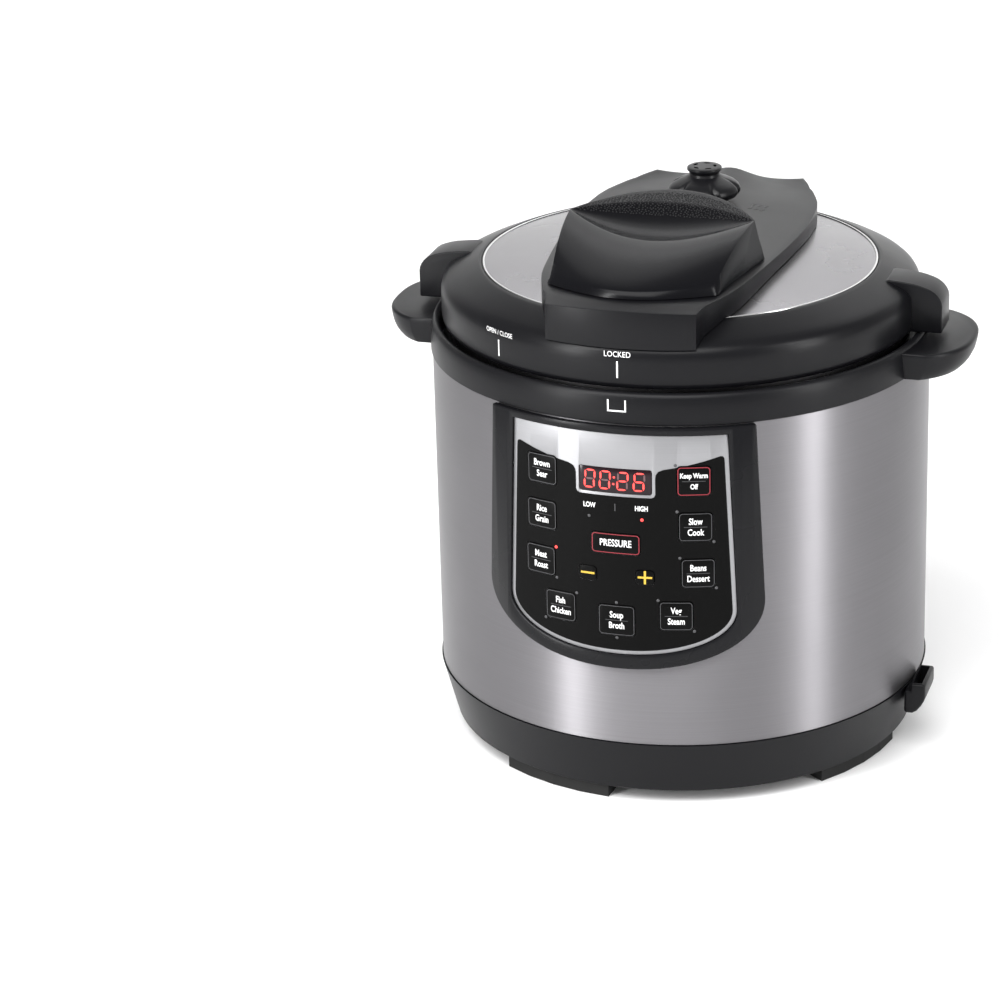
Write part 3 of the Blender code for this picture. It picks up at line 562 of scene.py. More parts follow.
def flatPrint(name, shapes, radius, material, step=2.0):
    bm = bmesh.new()
    for outer, inner in shapes:  # a filled outline, or a line between two matched outlines
        rings = [[bm.verts.new((s, 0, z)) for s, z in outline] for outline in (outer, inner) if outline]
        if len(rings) == 1:
            bm.faces.new(rings[0])
            continue
        closeBand(bm, *rings)
    reach = max(abs(v.co.x) for v in bm.verts)
    for i in range(-int(reach / step), int(reach / step) + 1):
        geom = list(bm.verts) + list(bm.edges) + list(bm.faces)
        bmesh.ops.bisect_plane(bm, geom=geom, dist=1e-5, plane_co=(i * step, 0, 0), plane_no=(1, 0, 0))
    for vert in bm.verts:
        vert.co = wrapped(vert.co.x, vert.co.z, radius)
    return faceOutwards(meshObject(name, bm, material))


def faceOutwards(piece):
    bm = bmesh.new()
    bm.from_mesh(piece.data)
    bm.normal_update()
    wrong = [f for f in bm.faces if f.normal.dot(Vector((*f.calc_center_median().xy, 0))) < 0]
    bmesh.ops.reverse_faces(bm, faces=wrong)
    bm.to_mesh(piece.data)
    bm.free()
    return piece


def lettering(text, size, s, z, radius, narrow, bold, bm):
    font = bpy.data.curves.new("letters", "FONT")
    font.body = text
    font.size = size
    font.offset = bold
    font.align_x = "CENTER"
    font.align_y = "CENTER"
    font.resolution_u = 3
    holder = newObject("letters", font)
    mesh = evaluatedMesh(holder)
    verts = [bm.verts.new(wrapped(s + v.co.x * narrow, z + v.co.y, radius)) for v in mesh.vertices]
    for polygon in mesh.polygons:
        bm.faces.new([verts[i] for i in polygon.vertices])
    bpy.data.objects.remove(holder, do_unlink=True)


def printedWords(name, words, material, narrow=0.72, bold=0.10):
    bm = bmesh.new()
    for text, size, s, z, radius in words:
        lettering(text, size, s, z, radius, narrow, bold, bm)
    return faceOutwards(meshObject(name, bm, material))


label = {"size": 5.4, "pressureSize": 5.8, "widest": 38.0, "upper": 3.2, "lower": -3.3, "dividerHalf": 6.4,
         "dividerHeight": 0.15, "inset": 1.0, "corner": 2.0, "line": 0.32, "redLine": 0.5}
signs = {"-": rectangle(-4.0, -0.6, 4.0, 0.6),
         "+": [(-4.0, -0.6), (-0.6, -0.6), (-0.6, -4.0), (0.6, -4.0), (0.6, -0.6), (4.0, -0.6), (4.0, 0.6),
               (0.6, 0.6), (0.6, 4.0), (-0.6, 4.0), (-0.6, 0.6), (-4.0, 0.6)]}


def keyPrint(name):
    azimuth, height, width, tall, lines = keys[name]
    s = arcLength(azimuth)
    lift = panel["keyRadius"] + panel["printLift"]
    if lines[0] in signs:
        sign = shifted(signs[lines[0]], s, height)
        placePiece(flatPrint(name + "_sign", [(sign, None)], lift, made["yellowPrint"]), name, "key_black")
        return
    red = name in ("key_pressure", "key_keep_warm")
    line = label["redLine" if red else "line"]
    wide, high = width - label["inset"], tall - label["inset"]
    outer = shifted(roundedRectangle(wide, high, label["corner"]), s, height)
    inner = shifted(roundedRectangle(wide - 2 * line, high - 2 * line, label["corner"] - line), s, height)
    edge = flatPrint(name + "_outline", [(outer, inner)], lift, made["redPrint" if red else "greyPrint"])
    placePiece(edge, name, "key_black")
    if len(lines) == 1:
        words = [(lines[0], label["pressureSize"], s, height + 0.2, lift)]
    else:
        size = min(label["size"], label["widest"] / max(len(line) for line in lines))
        words = [(lines[0], size, s, height + label["upper"], lift),
                 (lines[1], size, s, height + label["lower"], lift)]
        half, thin = label["dividerHalf"], label["dividerHeight"]
        bar = rectangle(s - half, height - thin, s + half, height + thin)
        placePiece(flatPrint(name + "_divider", [(bar, None)], lift, made["greyPrint"]), name, "key_black")
    placePiece(printedWords(name + "_label", words, made["whitePrint"]), name, "key_black")


def makePanel():
    back, front = panel["backRadius"], panel["overlayRadius"]
    bezel = curvedPlate("panelBezel", shieldOutline(*panel["bezelOuter"]), back, panel["bezelRadius"],
                        made["bezelPlastic"], [overlayOutline(panel["bezelGap"])], panel["bezelEdge"])
    placePiece(bezel, "root", "gloss_black", "panel_bezel")
    keyHoles = [keyOutline(name, panel["gap"]) for name in keys]
    overlay = curvedPlate("controlPanel", overlayOutline(), back, front, made["panelSilver"],
                          keyHoles + [windowOutline(panel["gap"])], panel["printEdge"])
    placePiece(overlay, "root", "panel_print", "control_panel")
    field = curvedPlate("panelField", fieldOutline(), front + 0.02, front + 0.12,
                        made["fieldPrint"], keyHoles)
    placePiece(field, "root", "panel_print")
    window = curvedPlate("displayWindow", windowOutline(), front - 1.9, front - 0.1, made["displayGlass"], (),
                         panel["printEdge"])
    placePiece(window, "root", "display_red", "display_window")
    for name in keys:
        key = curvedPlate(name + "_cap", keyOutline(name), panel["keyRadius"] - panel["keyThickness"],
                          panel["keyRadius"], made["keyPlastic"], (), panel["keyEdge"])
        placePiece(key, name, "key_black", name)
        keyPrint(name)


makePanel()
print("panel and keys made")


def scatterTree(name, shape, sizes, material):  # a named shape repeated on the points of a mesh
    tree = bpy.data.node_groups.new(name, "GeometryNodeTree")
    tree.interface.new_socket("Geometry", in_out="INPUT", socket_type="NodeSocketGeometry")
    for label in sizes:
        tree.interface.new_socket(label, in_out="INPUT", socket_type="NodeSocketFloat")
    tree.interface.new_socket("Geometry", in_out="OUTPUT", socket_type="NodeSocketGeometry")
    link = tree.links.new
    start = node(tree, "NodeGroupInput")
    end = node(tree, "NodeGroupOutput")
    instance = node(tree, "GeometryNodeInstanceOnPoints")
    source, rotation = shape(tree, start, instance)
    link(source, instance.inputs["Points"])
    link(rotation, instance.inputs["Rotation"])
    realize = node(tree, "GeometryNodeRealizeInstances")
    paint = node(tree, "GeometryNodeSetMaterial", {"Material": material})
    link(instance.outputs["Instances"], realize.inputs["Geometry"])
    link(realize.outputs["Geometry"], paint.inputs["Geometry"])
    link(paint.outputs["Geometry"], end.inputs["Geometry"])
    return tree


def scattered(name, carrier, shape, sizes, material):
    tree = scatterTree(name + "Tree", shape, sizes, material)
    modifier = carrier.modifiers.new("scatter", "NODES")
    modifier.node_group = tree
    for item in tree.interface.items_tree:
        if item.item_type == "SOCKET" and item.in_out == "INPUT" and item.name in sizes:
            modifier[item.identifier] = sizes[item.name]
    mesh = evaluatedMesh(carrier)
    mesh.name = name
    carrier.modifiers.clear()
    bpy.data.objects.remove(carrier, do_unlink=True)
    mesh.shade_smooth()
    return newObject(name, mesh)


def pointMesh(points, turns):
    mesh = bpy.data.meshes.new("points")
    mesh.from_pydata([Vector(p) for p in points], [], [])
    layer = mesh.attributes.new("turn", "FLOAT_VECTOR", "POINT")
    for entry, turn in zip(layer.data, turns):
        entry.vector = turn
    return newObject("points", mesh)


def readTurn(tree):
    turn = node(tree, "GeometryNodeInputNamedAttribute", {"Name": "turn"})
    turn.data_type = "FLOAT_VECTOR"
    return turn.outputs["Attribute"]


def sizedShape(tree, start, instance, shape, labels):  # the unit shape, scaled by the named inputs
    size = node(tree, "ShaderNodeCombineXYZ", {"Z": 1.0})
    for axis, label in zip("XYZ", labels):
        tree.links.new(start.outputs[label], size.inputs[axis])
    stretch = node(tree, "GeometryNodeTransform")
    tree.links.new(shape.outputs["Mesh"], stretch.inputs["Geometry"])
    tree.links.new(size.outputs["Vector"], stretch.inputs["Scale"])
    tree.links.new(stretch.outputs["Geometry"], instance.inputs["Instance"])


def barShape(tree, start, instance):  # a flat six-sided bar, pointed at both ends
    circle = node(tree, "GeometryNodeMeshCircle", {"Vertices": 6, "Radius": 1.0})
    circle.fill_type = "NGON"
    sizedShape(tree, start, instance, circle, ("halfLength", "halfWidth"))
    return start.outputs["Geometry"], readTurn(tree)


def domeShape(tree, start, instance):  # a low dome, its axis along the point's turn
    ball = node(tree, "GeometryNodeMeshUVSphere", {"Segments": 12, "Rings": 6, "Radius": 1.0})
    sizedShape(tree, start, instance, ball, ("radius", "radius", "height"))
    return start.outputs["Geometry"], readTurn(tree)


pebbles = {"seed": 7, "densest": 3000000, "spacing": 1.35, "radius": 0.6, "height": 0.5, "halfWidth": 0.93,
           "columns": 40, "rows": 8, "strip": (0.80, 0.965)}


def pebbleShape(tree, start, instance):  # pebbles spread evenly over the strip
    spread = node(tree, "GeometryNodeDistributePointsOnFaces")
    spread.distribute_method = "POISSON"
    spread.inputs["Seed"].default_value = pebbles["seed"]
    spread.inputs["Density Max"].default_value = pebbles["densest"]
    tree.links.new(start.outputs["Geometry"], spread.inputs["Mesh"])
    tree.links.new(start.outputs["spacing"], spread.inputs["Distance Min"])
    ball = node(tree, "GeometryNodeMeshIcoSphere", {"Subdivisions": 1, "Radius": 1.0})
    sizedShape(tree, start, instance, ball, ("radius", "radius", "height"))
    return spread.outputs["Points"], spread.outputs["Rotation"]


display = {"text": "0026", "digitWidth": 5.4, "digitHeight": 10.2, "lean": 0.10, "barWidth": 0.6,
           "barLength": 2.45, "centres": (-14.4, -5.6, 4.4, 13.6), "dots": [(-0.4, 2.0), (-0.8, -2.0)],
           "dot": (1.2, 1.2, 0.4, 4), "sunk": 0.04, "lit": {"0": "abcdef", "2": "abdeg", "6": "acdefg"}}
segments = {"a": (0, 0.5, 0), "b": (0.5, 0.25, 90), "c": (0.5, -0.25, 90), "d": (0, -0.5, 0),
            "e": (-0.5, -0.25, 90), "f": (-0.5, 0.25, 90), "g": (0, 0, 0)}


def makeDigits():
    radius, middle = panel["overlayRadius"] - display["sunk"], panel["window"][2]
    places = {True: [], False: []}
    for digit, centre in zip(display["text"], display["centres"]):
        for name, (across, up, turn) in segments.items():
            spot = (centre + across * display["digitWidth"] + up * display["digitHeight"] * display["lean"],
                    up * display["digitHeight"], turn)
            places[name in display["lit"][digit]].append(spot)
    for lit, spots in places.items():
        points = [(s * mm, z * mm, 0) for s, z, _ in spots]
        carrier = pointMesh(points, [(0, 0, math.radians(turn)) for _, _, turn in spots])
        bars = scattered("digitsLit" if lit else "digitsUnlit", carrier, barShape,
                         {"halfLength": display["barLength"] * mm, "halfWidth": display["barWidth"] * mm},
                         made["litRed" if lit else "unlitSegment"])
        for vert in bars.data.vertices:
            vert.co = wrapped(vert.co.x / mm, middle + vert.co.y / mm, radius)
        placePiece(faceOutwards(bars), "root", "display_red")
    dot = roundedRectangle(*display["dot"])
    shapes = [(shifted(dot, s, middle + z), None) for s, z in display["dots"]]
    placePiece(flatPrint("clockDots", shapes, radius, made["litRed"]), "root", "display_red")


lamps = {"radius": 0.95, "height": 0.45, "gap": 0.6, "middleGap": 1.5, "lift": 0.1, "printLift": 0.17,
         "words": {"LOW": -5.8, "HIGH": 5.8}, "wordSize": 4.2, "wordHeight": 187.8,
         "divider": rectangle(-0.25, 185.6, 0.25, 189.9),
         "levels": {"lit": [(5.9, 181.2)], "dark": [(-5.9, 181.2)]},
         "corners": {"lit": [("key_meat", 1, 1)],
                     "dark": [("key_keep_warm", -1, 1), ("key_slow_cook", -1, 1), ("key_slow_cook", 1, -1),
                              ("key_desserts", -1, 1), ("key_desserts", 1, -1), ("key_vegetables", -1, 1),
                              ("key_vegetables", 1, -1), ("key_poultry", 1, 1), ("key_poultry", -1, -1),
                              ("key_soup", 0, 1), ("key_soup", 0, -1), ("key_meat", 1, -1)]}}


def lampPlaces(group):
    places = [(arcLength(azimuth), z) for azimuth, z in lamps["levels"][group]]
    for name, across, up in lamps["corners"][group]:
        azimuth, height, width, tall, _ = keys[name]
        s = arcLength(azimuth) + across * (width / 2 + lamps["gap"])
        places.append((s, height + up * (tall / 2 + lamps["gap" if across else "middleGap"])))
    return places


def makeLamps():
    radius = panel["overlayRadius"] + lamps["lift"]
    sizes = {"radius": lamps["radius"] * mm, "height": lamps["height"] * mm}
    for group, material in (("lit", "litRed"), ("dark", "greyPrint")):
        points = [wrapped(s, z, radius) for s, z in lampPlaces(group)]
        turns = [(math.radians(90), 0, s * mm / sleeveRadius) for s, _ in lampPlaces(group)]
        domes = scattered(group + "Lamps", pointMesh(points, turns), domeShape, sizes, made[material])
        placePiece(domes, "root", "panel_print")
    lift = panel["overlayRadius"] + lamps["printLift"]
    words = [(text, lamps["wordSize"], arcLength(azimuth), lamps["wordHeight"], lift)
             for text, azimuth in lamps["words"].items()]
    placePiece(printedWords("pressureLevels", words, made["whitePrint"]), "root", "panel_print")
    divider = flatPrint("levelDivider", [(lamps["divider"], None)], lift, made["greyPrint"])
    placePiece(divider, "root", "panel_print")


makeDigits()
makeLamps()
print("display and lamps made")


lidPlate = {"rimRadius": 115.3, "rimZ": 287.5, "crown": 8.5, "wall": 1.5,
            "domeRadii": (0.0, 15.0, 30.0, 45.0, 60.0, 75.0, 90.0, 105.0),
            "outer": [(115.2, 287.1), (115.6, 286.0), (118.0, 283.0), (124.0, 276.0), (131.0, 270.0),
                      (134.3, 264.0), (134.4, 243.5)],
            "inner": [(130.7, 243.5), (130.7, 245.3), (132.8, 245.6), (132.8, 263.4), (129.6, 268.8),
                      (122.7, 274.8), (116.2, 282.0)],
            "holes": {"low": 280, "valve": (4.9, 300, 32), "float": (3.3, 300), "screw": (2.5, 300)},
            "bead": (114.6, 287.55, 0.75), "beadSteps": 12}
valveY = 60.0
floatPlace = (-30.0, 70.0)
lidScrews = [(0.0, -62.0), (0.0, 98.0)]


def plateZ(radius):
    share = radius / lidPlate["rimRadius"]
    return lidPlate["rimZ"] + lidPlate["crown"] - lidPlate["crown"] * share ** 2


def lidHoles(holes):  # radius and top of each hole
    radius, top, sides = holes["valve"]
    tools = [rodTool(0, valveY, radius, holes["low"], top, sides)]
    for (x, y), kind in [(floatPlace, "float")] + [(place, "screw") for place in lidScrews]:
        radius, top = holes[kind]
        tools.append(rodTool(x, y, radius, holes["low"], top))
    return tools


def isLidLug(radius, z):
    low, high = bayonet["lidLugHeights"]
    return low < z < high and radius < bayonet["lidLugTo"]


def makeLidPlate():
    wall = lidPlate["wall"]
    dome = [(r, plateZ(r)) for r in lidPlate["domeRadii"]]
    outer = dome + [(112.6, plateZ(112.6)), (114.2, plateZ(114.2) - 0.1)] + lidPlate["outer"]
    inner = lidPlate["inner"] + [(113.2, plateZ(113.2) - wall)] + [(r, z - wall) for r, z in reversed(dome)]
    plate = turned("lidPlate", outer + inner, made["plateSteel"], smoothAngle=32)
    openGaps(plate, isLidLug, bayonet["lidGap"])
    combined(plate, lidHoles(lidPlate["holes"]), "DIFFERENCE")
    placePiece(plate, "lid", "satin_steel", "lid_plate")
    radius, height, thick = lidPlate["bead"]
    angles = [2 * math.pi * i / lidPlate["beadSteps"] for i in range(lidPlate["beadSteps"])]
    bead = [(radius + thick * math.cos(angle), height + thick * math.sin(angle)) for angle in angles]
    placePiece(turned("plateBead", bead, made["potSteel"]), "lid", "satin_steel")


ring = {"profile": [(134.8, 255.2), (138.6, 255.2), (139.4, 256.0), (140.0, 258.5), (140.0, 270.0),
                    (139.9, 273.0), (139.3, 275.6), (138.2, 277.6), (136.2, 279.4), (132.9, 281.2),
                    (129.5, 282.7), (125.8, 284.4), (122.0, 286.0), (118.6, 287.4), (117.0, 288.0),
                    (116.2, 288.0), (115.8, 287.7), (115.65, 286.9), (118.5, 283.5), (124.5, 276.5),
                    (131.5, 270.5), (134.8, 264.3)],
        "ear": [(136.6, 255.5), (156.6, 255.5), (157.0, 256.2), (157.0, 271.5), (156.6, 273.8),
                (155.6, 276.0), (154.2, 277.9), (152.5, 279.5), (150.2, 281.0), (147.5, 282.1),
                (144.0, 283.2), (140.0, 284.1), (133.0, 285.0), (126.0, 285.6), (123.0, 284.6),
                (129.0, 278.5), (136.6, 272.6)],
        "earHalfWidth": 12.0, "earRound": 1.5}


def makeLidRing():
    piece = turned("lidRing", ring["profile"], made["lidPlastic"])
    half = ring["earHalfWidth"]
    ears = []
    for side in (1, -1):
        outline = [(side * x, z) for x, z in ring["ear"]]
        ear = meshObject("cutter", extruded(outline, -half, half, "y"), blackPlastic)
        ears.append(softenEdges(ear, ring["earRound"], 4, 60))
    combined(piece, ears, "UNION")
    placePiece(piece, "lid", "black_plastic", "lid_ring")


bridge = {"rows": [-139.6, -136.5, -130, -122.3, -117.5, -113, -95, -70, -42, -14, 14, 42, 70, 95, 113,
                   117.5, 120.3, 123, 126],
          "halfWidth": [(-140, 43), (-131, 45), (-121, 51), (-110, 56), (-90, 59.5), (-50, 64), (0, 68),
                        (50, 69), (90, 66), (113, 58), (126, 46)],
          "middle": [(-140, 299.5), (-128, 302.5), (-100, 303.5), (75, 303.5)],
          "edge": [(-140, 298.5), (-128, 300.5), (-100, 302.0), (75, 301.5)],
          "rearRound": 117.5, "rearFlat": 0.73, "topRound": 1.1, "plateEdge": 113.0, "plateGap": 0.5,
          "shoulder": [(115.0, 288.6), (117.5, 288.6), (122.5, 286.6), (130.0, 283.4), (136.8, 280.2),
                       (140.2, 277.8)],
          "holes": {"low": 285, "valve": (12.0, 320, 48), "float": (4.6, 301.4), "screw": (2.4, 299.5)},
          "tailFrom": 75.0, "tail": (299.6, 5.4, 0.32, 1.9)}  # the tail's level, rise, spread and edge


def underBridge(x, y):
    radius = math.hypot(x, y)
    edge = bridge["plateEdge"]
    if radius <= edge:
        return plateZ(radius) + bridge["plateGap"]
    return between([(edge, plateZ(edge) + bridge["plateGap"])] + bridge["shoulder"], radius)


def rowY(x, reach):
    bend = min(1.0, abs(reach) / bridge["plateEdge"]) ** 2
    if reach > bridge["rearRound"]:
        past = (reach - bridge["rearRound"]) / (bridge["rows"][-1] - bridge["rearRound"])
        bend = 1.0 - bridge["rearFlat"] * past
    return math.copysign(math.sqrt(reach * reach - bend * x * x), reach)


def bridgeHeight(u, reach):
    level = between(bridge["middle"], reach) * (1 - u * u) + between(bridge["edge"], reach) * u * u
    share = max(0.0, (reach - bridge["tailFrom"]) / (bridge["rows"][-1] - bridge["tailFrom"]))
    low, rise, spread, edge = bridge["tail"]
    wave = low + rise * math.exp(-(u / spread) ** 2) + edge * u ** 4
    return level + (wave - level) * share


def bridgePlace(u, v):
    rows = bridge["rows"]
    index = v * (len(rows) - 1)
    first = min(int(index), len(rows) - 2)
    reach = rows[first] + (index - first) * (rows[first + 1] - rows[first])
    widths = bridge["halfWidth"]
    return u * min(smoothBetween(widths, reach), between(widths, reach) + 0.5), reach


def bridgeTop(u, v):
    x, reach = bridgePlace(u, v)
    return x, rowY(x, reach), bridgeHeight(u, reach)


def bridgeBottom(u, v):
    x, reach = bridgePlace(u, v)
    return x, rowY(x, reach), underBridge(x, rowY(x, reach))


def makeBridge():
    piece = slab("handleBridge", bridgeTop, bridgeBottom, 30, 36, made["lidPlastic"])
    combined(piece, lidHoles(bridge["holes"]), "DIFFERENCE")
    softenEdges(piece, bridge["topRound"], 3, 55)
    placePiece(piece, "lid", "black_plastic", "handle_bridge")


grip = {"crest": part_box("grip_cover")[1].z / mm, "lipShare": 0.5, "edgeRound": 1.0, "footGap": 0.4,
        "halfWidth": [(-130, 42), (-106, 47), (-41, 54), (0, 55)],
        "footHalfWidth": [(-130, 44), (-107, 49), (-40, 60), (0, 61)],
        "footFront": (-127.5, 20.5), "footRear": (-8.0, -32.0), "front": (-126.0, 20.5), "frontZ": 306.6,
        "lip": (-69.0, 28.0), "crestLine": (0.0, -40.0), "lipZ": (318.5, 6.5), "crestFall": -3.0,
        "fullness": 0.85, "scoop": 7.0, "scoopRate": 1.35, "scoopEnd": 0.74}


def bowed(values, u):
    return values[0] + values[1] * u * u


def gripBottom(u, v):
    front, rear = bowed(grip["footFront"], u), bowed(grip["footRear"], u)
    y = front + (rear - front) * v
    x = u * between(grip["footHalfWidth"], y)
    reach = -math.hypot(y, x * abs(y) / 140.0)
    width = between(bridge["halfWidth"], reach)
    return x, y, bridgeHeight(min(1.0, abs(x) / width), reach) + grip["footGap"]


def gripTop(u, v):
    frontY, lipY, crestY = (bowed(grip[line], u) for line in ("front", "lip", "crestLine"))
    lipZ, crestZ = bowed(grip["lipZ"], u), bowed((grip["crest"], grip["crestFall"]), u)
    if v <= grip["lipShare"]:  # the convex front
        t = v / grip["lipShare"]
        y = frontY + (lipY - frontY) * t
        z = grip["frontZ"] + (lipZ - grip["frontZ"]) * math.sin(t * math.pi / 2) ** grip["fullness"]
    else:  # the finger scoop and the strip under the crest
        t = (v - grip["lipShare"]) / (1 - grip["lipShare"])
        y = lipY + (crestY - lipY) * t
        dip = math.sin(math.pi * min(1.0, t * grip["scoopRate"])) if t < grip["scoopEnd"] else 0.0
        z = lipZ + (crestZ - lipZ) * t - grip["scoop"] * (1 - u * u) * dip
    return u * smoothBetween(grip["halfWidth"], y), y, z


def makeGrip():
    piece = slab("gripCover", gripTop, gripBottom, 48, 64, made["glossPlastic"])
    softenEdges(piece, grip["edgeRound"], 3, 50)
    placePiece(piece, "lid", "grip_black", "grip_cover")
    low, high = pebbles["strip"]
    half, columns, count = pebbles["halfWidth"], pebbles["columns"], pebbles["rows"]
    bm = bmesh.new()
    rows = []
    for j in range(count + 1):
        v = low + (high - low) * j / count
        rows.append([bm.verts.new(Vector(gripTop(-half + 2 * half * i / columns, v)) * mm)
                     for i in range(columns + 1)])
    gridFaces(bm, rows)
    carrier = meshObject("strip", bm, made["pebblePlastic"])
    if sum(face.normal.z for face in carrier.data.polygons) < 0:
        carrier.data.flip_normals()
    sizes = {label: pebbles[label] * mm for label in ("spacing", "radius", "height")}
    grains = scattered("gripPebbles", carrier, pebbleShape, sizes, made["pebblePlastic"])
    placePiece(grains, "lid", "grip_black")


valve = {"profile": [(0.0, 317.5), (5.4, 317.5), (5.4, 306.0), (14.0, 306.0), (17.4, 306.7), (20.0, 308.0),
                     (21.3, 309.8), (21.4, 311.6), (20.6, 313.4), (18.8, 315.0), (15.4, 316.8), (11.5, 318.3),
                     (9.4, 319.6), (8.9, 321.0), (9.3, 322.2), (10.2, 322.9), (10.4, 323.6), (10.2, 324.5),
                     (9.5, 324.9), (7.0, 325.0), (0.0, 325.0)],
         "notches": 6, "notchDepth": 0.11, "notchFrom": 13, "notchFade": 6, "slotCount": 5, "slotRadius": 6.2,
         "slotTurn": 0.3, "slotShape": (1.1, 2.2, 1, 1), "slotCut": (1.0, 323.6, 326.0, 20)}


def makeValve():
    piece = turned("regulatingValve", valve["profile"], made["valvePlastic"], 144, (0, valveY))
    for vert in piece.data.vertices:
        x, y = vert.co.x, vert.co.y - valveY * mm
        radius = math.hypot(x, y)
        if radius > valve["notchFrom"] * mm and vert.co.z < 0.317:
            wave = max(0.0, math.cos(valve["notches"] * math.atan2(y, x))) ** 8
            share = min(1.0, (radius - valve["notchFrom"] * mm) / (valve["notchFade"] * mm))
            vert.co.x = x * (1 - valve["notchDepth"] * wave * share)
            vert.co.y = valveY * mm + y * (1 - valve["notchDepth"] * wave * share)
    slots = []
    for i in range(valve["slotCount"]):
        angle = 2 * math.pi * i / valve["slotCount"] + valve["slotTurn"]
        cut = rodTool(0, 0, *valve["slotCut"])
        turn = Matrix.Rotation(angle, 4, "Z") @ Matrix.Translation((valve["slotRadius"] * mm, 0, 0))
        centre = Matrix.Translation((0, valveY * mm, 0))
        cut.data.transform(centre @ turn @ Matrix.Diagonal(valve["slotShape"]))
        slots.append(cut)
    combined(piece, slots, "DIFFERENCE")
    placePiece(piece, "valve", "valve_black", "regulating_valve")


makeLidPlate()
makeLidRing()
makeBridge()
makeGrip()
makeValve()
print("lid made")


marks = {"lockedWord": ("LOCKED", 4.6, 274.8), "openWord": ("OPEN / CLOSE", 4.0, 274.6), "openAzimuth": -32.3,
         "wordLift": 139.85, "tickLift": 140.12, "tick": rectangle(-0.5, 261.3, 0.5, 271.0), "openDrop": 0.5,
         "collarLift": 147.1, "collarFrom": -1.6, "collarTo": 2.6, "collarHeights": (244.0, 251.0),
         "collarLine": 0.9}


def makeMarks():
    openAt = arcLength(marks["openAzimuth"])
    words = [(text, size, s, z, marks["wordLift"])
             for (text, size, z), s in ((marks["lockedWord"], 0.0), (marks["openWord"], openAt))]
    placePiece(printedWords("lidWords", words, made["whitePrint"], 0.9, 0.02), "lid", "black_plastic")
    ticks = [marks["tick"], shifted(marks["tick"], openAt, -marks["openDrop"])]
    placePiece(flatPrint("lidTicks", [(tick, None) for tick in ticks], marks["tickLift"], made["whitePrint"]),
               "lid", "black_plastic")
    left, right, line = arcLength(marks["collarFrom"]), arcLength(marks["collarTo"]), marks["collarLine"]
    low, high = marks["collarHeights"]
    outline = [(left, high), (left, low), (right, low), (right, high), (right - line, high),
               (right - line, low + line), (left + line, low + line), (left + line, high)]
    mark = flatPrint("collarMark", [(outline, None)], marks["collarLift"], made["whitePrint"])
    placePiece(mark, "root", "black_plastic")


makeMarks()
print("marks made")


steam = {"place": (34.0, 54.0), "turn": -14.0, "spacing": 4.0, "length": 10.0, "sway": 0.9, "stroke": 0.5,
         "steps": 16, "proud": 0.12, "thick": 0.3}


def makeSteamSign():
    bm = bmesh.new()
    turn = math.radians(steam["turn"])
    for k in (-1, 0, 1):
        rows = []
        for i in range(steam["steps"] + 1):
            along = -steam["length"] / 2 + steam["length"] * i / steam["steps"]
            sway = steam["sway"] * math.sin(2 * math.pi * i / steam["steps"])
            middle = k * steam["spacing"] + sway
            row = []
            for side in (-1, 1):
                a, b = middle + side * steam["stroke"], along
                x = steam["place"][0] + a * math.cos(turn) - b * math.sin(turn)
                y = steam["place"][1] + a * math.sin(turn) + b * math.cos(turn)
                u = min(1.0, abs(x) / between(bridge["halfWidth"], y))
                row.append(bm.verts.new((x * mm, y * mm, (bridgeHeight(u, y) + steam["proud"]) * mm)))
            rows.append(row)
        gridFaces(bm, rows)
    moved = bmesh.ops.extrude_face_region(bm, geom=list(bm.faces))
    low = [v for v in moved["geom"] if isinstance(v, bmesh.types.BMVert)]
    bmesh.ops.translate(bm, verts=low, vec=(0, 0, -steam["thick"] * mm))
    placePiece(meshObject("steamSign", bm, made["glossPlastic"]), "lid", "black_plastic")


makeSteamSign()


kept = {"inlet_socket": "glossPlastic", "bottom_cover": "blackPlastic", "heating_plate": "castAluminium",
        "sensor_cap": "aluminiumSheet", "float_gasket": "redSilicone", "power_board": "boardGreen",
        "control_board": "boardGreen", "transformer": "transformerTape", "relay": "relayCase",
        "pressure_switch": "glossPlastic", "display_module": "moduleCase"}  # CAD pieces that keep their shape
for nodeName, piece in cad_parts.items():
    if nodeName in replacedNodes:
        continue
    finish = kept.get(nodeName, "footRubber" if nodeName.startswith("foot_") else "plainSteel")
    if not piece.material_slots:
        piece.data.materials.append(made[finish])
    for materialSlot in piece.material_slots:
        materialSlot.material = made[finish]
print("carried-over pieces finished")


studio = {"floorColour": (0.90, 0.90, 0.90), "world": 0.42, "halfWidth": 3.0, "front": -3.0, "depth": 1.6,
          "curve": 0.8, "curveSteps": 12, "rise": 2.6}
softBoxes = {  # place, aim, width, height, watts
    "leftStrip": ((-1.09, -1.56, 0.8), (0, 0, 0.2), 0.24, 1.6, 34),
    "rightStrip": ((1.82, -0.54, 0.8), (0, 0, 0.2), 0.16, 1.6, 24),
    "mainLight": ((-0.3, -1.7, 2.6), (0, 0.2, 0.0), 3.0, 1.8, 112),
    "rearLight": ((0.0, 1.9, 2.3), (0, 0.3, 0.0), 3.2, 1.2, 14)}
view = {"yaw": -3.1596, "pitch": 21.7393, "roll": -1.6317, "turn": 14.5, "lens": 127.70, "sensor": 36,
        "place": (0.49523, -1.91489, 0.92506)}


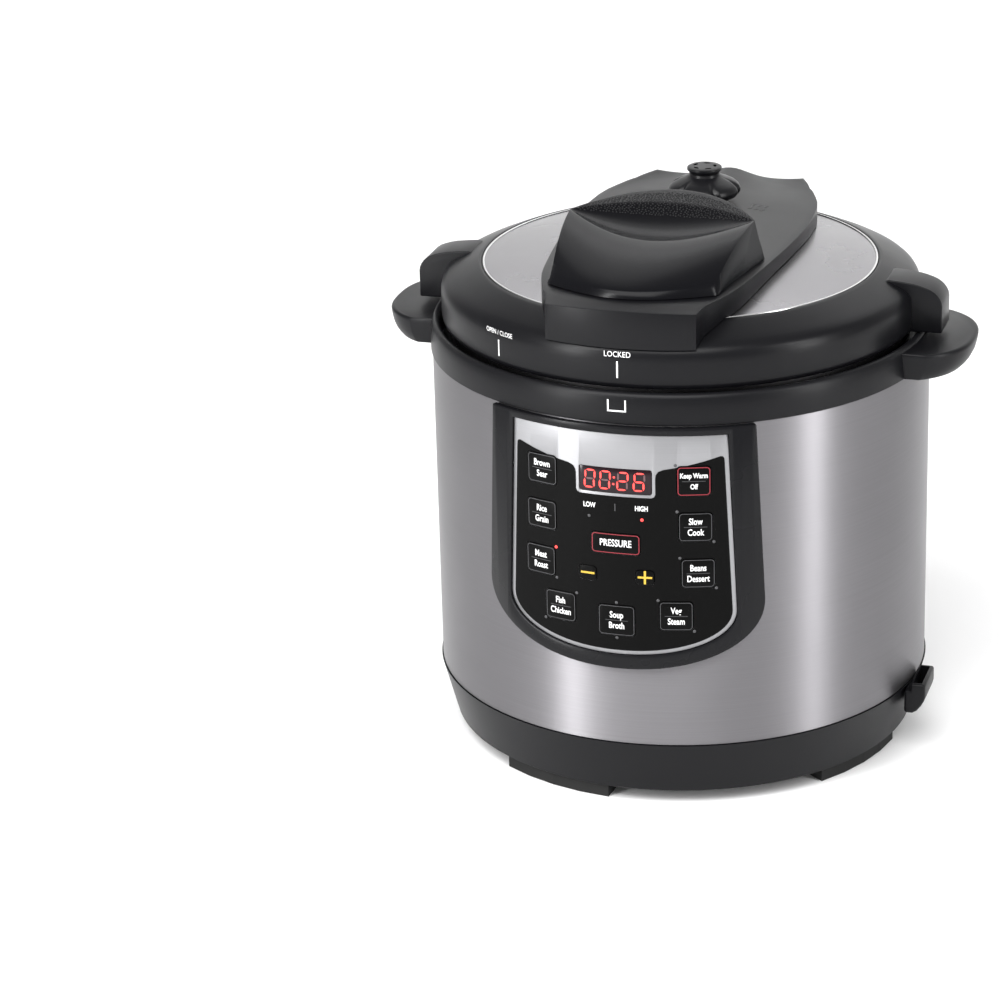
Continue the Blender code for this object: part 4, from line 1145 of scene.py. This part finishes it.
def makeStudio():
    bm = bmesh.new()
    depth, curve, steps = studio["depth"], studio["curve"], studio["curveSteps"]
    profile = [(studio["front"], 0.0), (depth, 0.0)]
    for i in range(1, steps + 1):
        angle = math.pi / 2 * i / steps
        profile.append((depth + curve * math.sin(angle), curve - curve * math.cos(angle)))
    profile.append((depth + curve, studio["rise"]))
    sides = (-studio["halfWidth"], studio["halfWidth"])
    gridFaces(bm, [[bm.verts.new((x, y, z)) for y, z in profile] for x in sides])
    floorLook = {"colour": studio["floorColour"], "rough": (0.55, 0.62), "grain": 60, "bump": 0.0,
                 "shade": [c * 0.99 for c in studio["floorColour"]]}
    floor = meshObject("studioFloor", bm, finishMaterial("studioPaper", floorLook))
    if floor.data.polygons[0].normal.z < 0:
        floor.data.flip_normals()
    world = bpy.data.worlds.new("studioWorld")
    world.use_nodes = True
    world.node_tree.nodes["Background"].inputs["Color"].default_value = (1, 1, 1, 1)
    world.node_tree.nodes["Background"].inputs["Strength"].default_value = studio["world"]
    bpy.context.scene.world = world
    bpy.context.scene.view_settings.view_transform = "Standard"


def softBox(name, place, target, width, height, power):
    light = bpy.data.lights.new(name, "AREA")
    light.shape = "RECTANGLE"
    light.size = width
    light.size_y = height
    light.energy = power
    holder = newObject(name, light)
    holder.location = place
    holder.rotation_euler = (Vector(target) - Vector(place)).to_track_quat("-Z", "Y").to_euler()


def makeCamera():
    yaw, pitch, roll, turn = (math.radians(view[name]) for name in ("yaw", "pitch", "roll", "turn"))
    forward = Vector((math.sin(yaw) * math.cos(pitch), math.cos(yaw) * math.cos(pitch), -math.sin(pitch)))
    right = forward.cross(Vector((0, 0, 1))).normalized()
    up = right.cross(forward)
    turnAxes = Matrix.Rotation(turn, 3, "Z")
    across = turnAxes @ (right * math.cos(roll) + up * math.sin(roll))
    upward = turnAxes @ (-right * math.sin(roll) + up * math.cos(roll))
    back = turnAxes @ -forward
    place = Matrix((across, upward, back)).transposed().to_4x4()
    place.translation = view["place"]
    camera = newObject("camera", bpy.data.cameras.new("camera"))
    camera.data.lens = view["lens"]
    camera.data.sensor_width = view["sensor"]
    camera.matrix_world = place
    bpy.context.scene.camera = camera


makeStudio()
for name, values in softBoxes.items():
    softBox(name, *values)
makeCamera()
print("studio made")
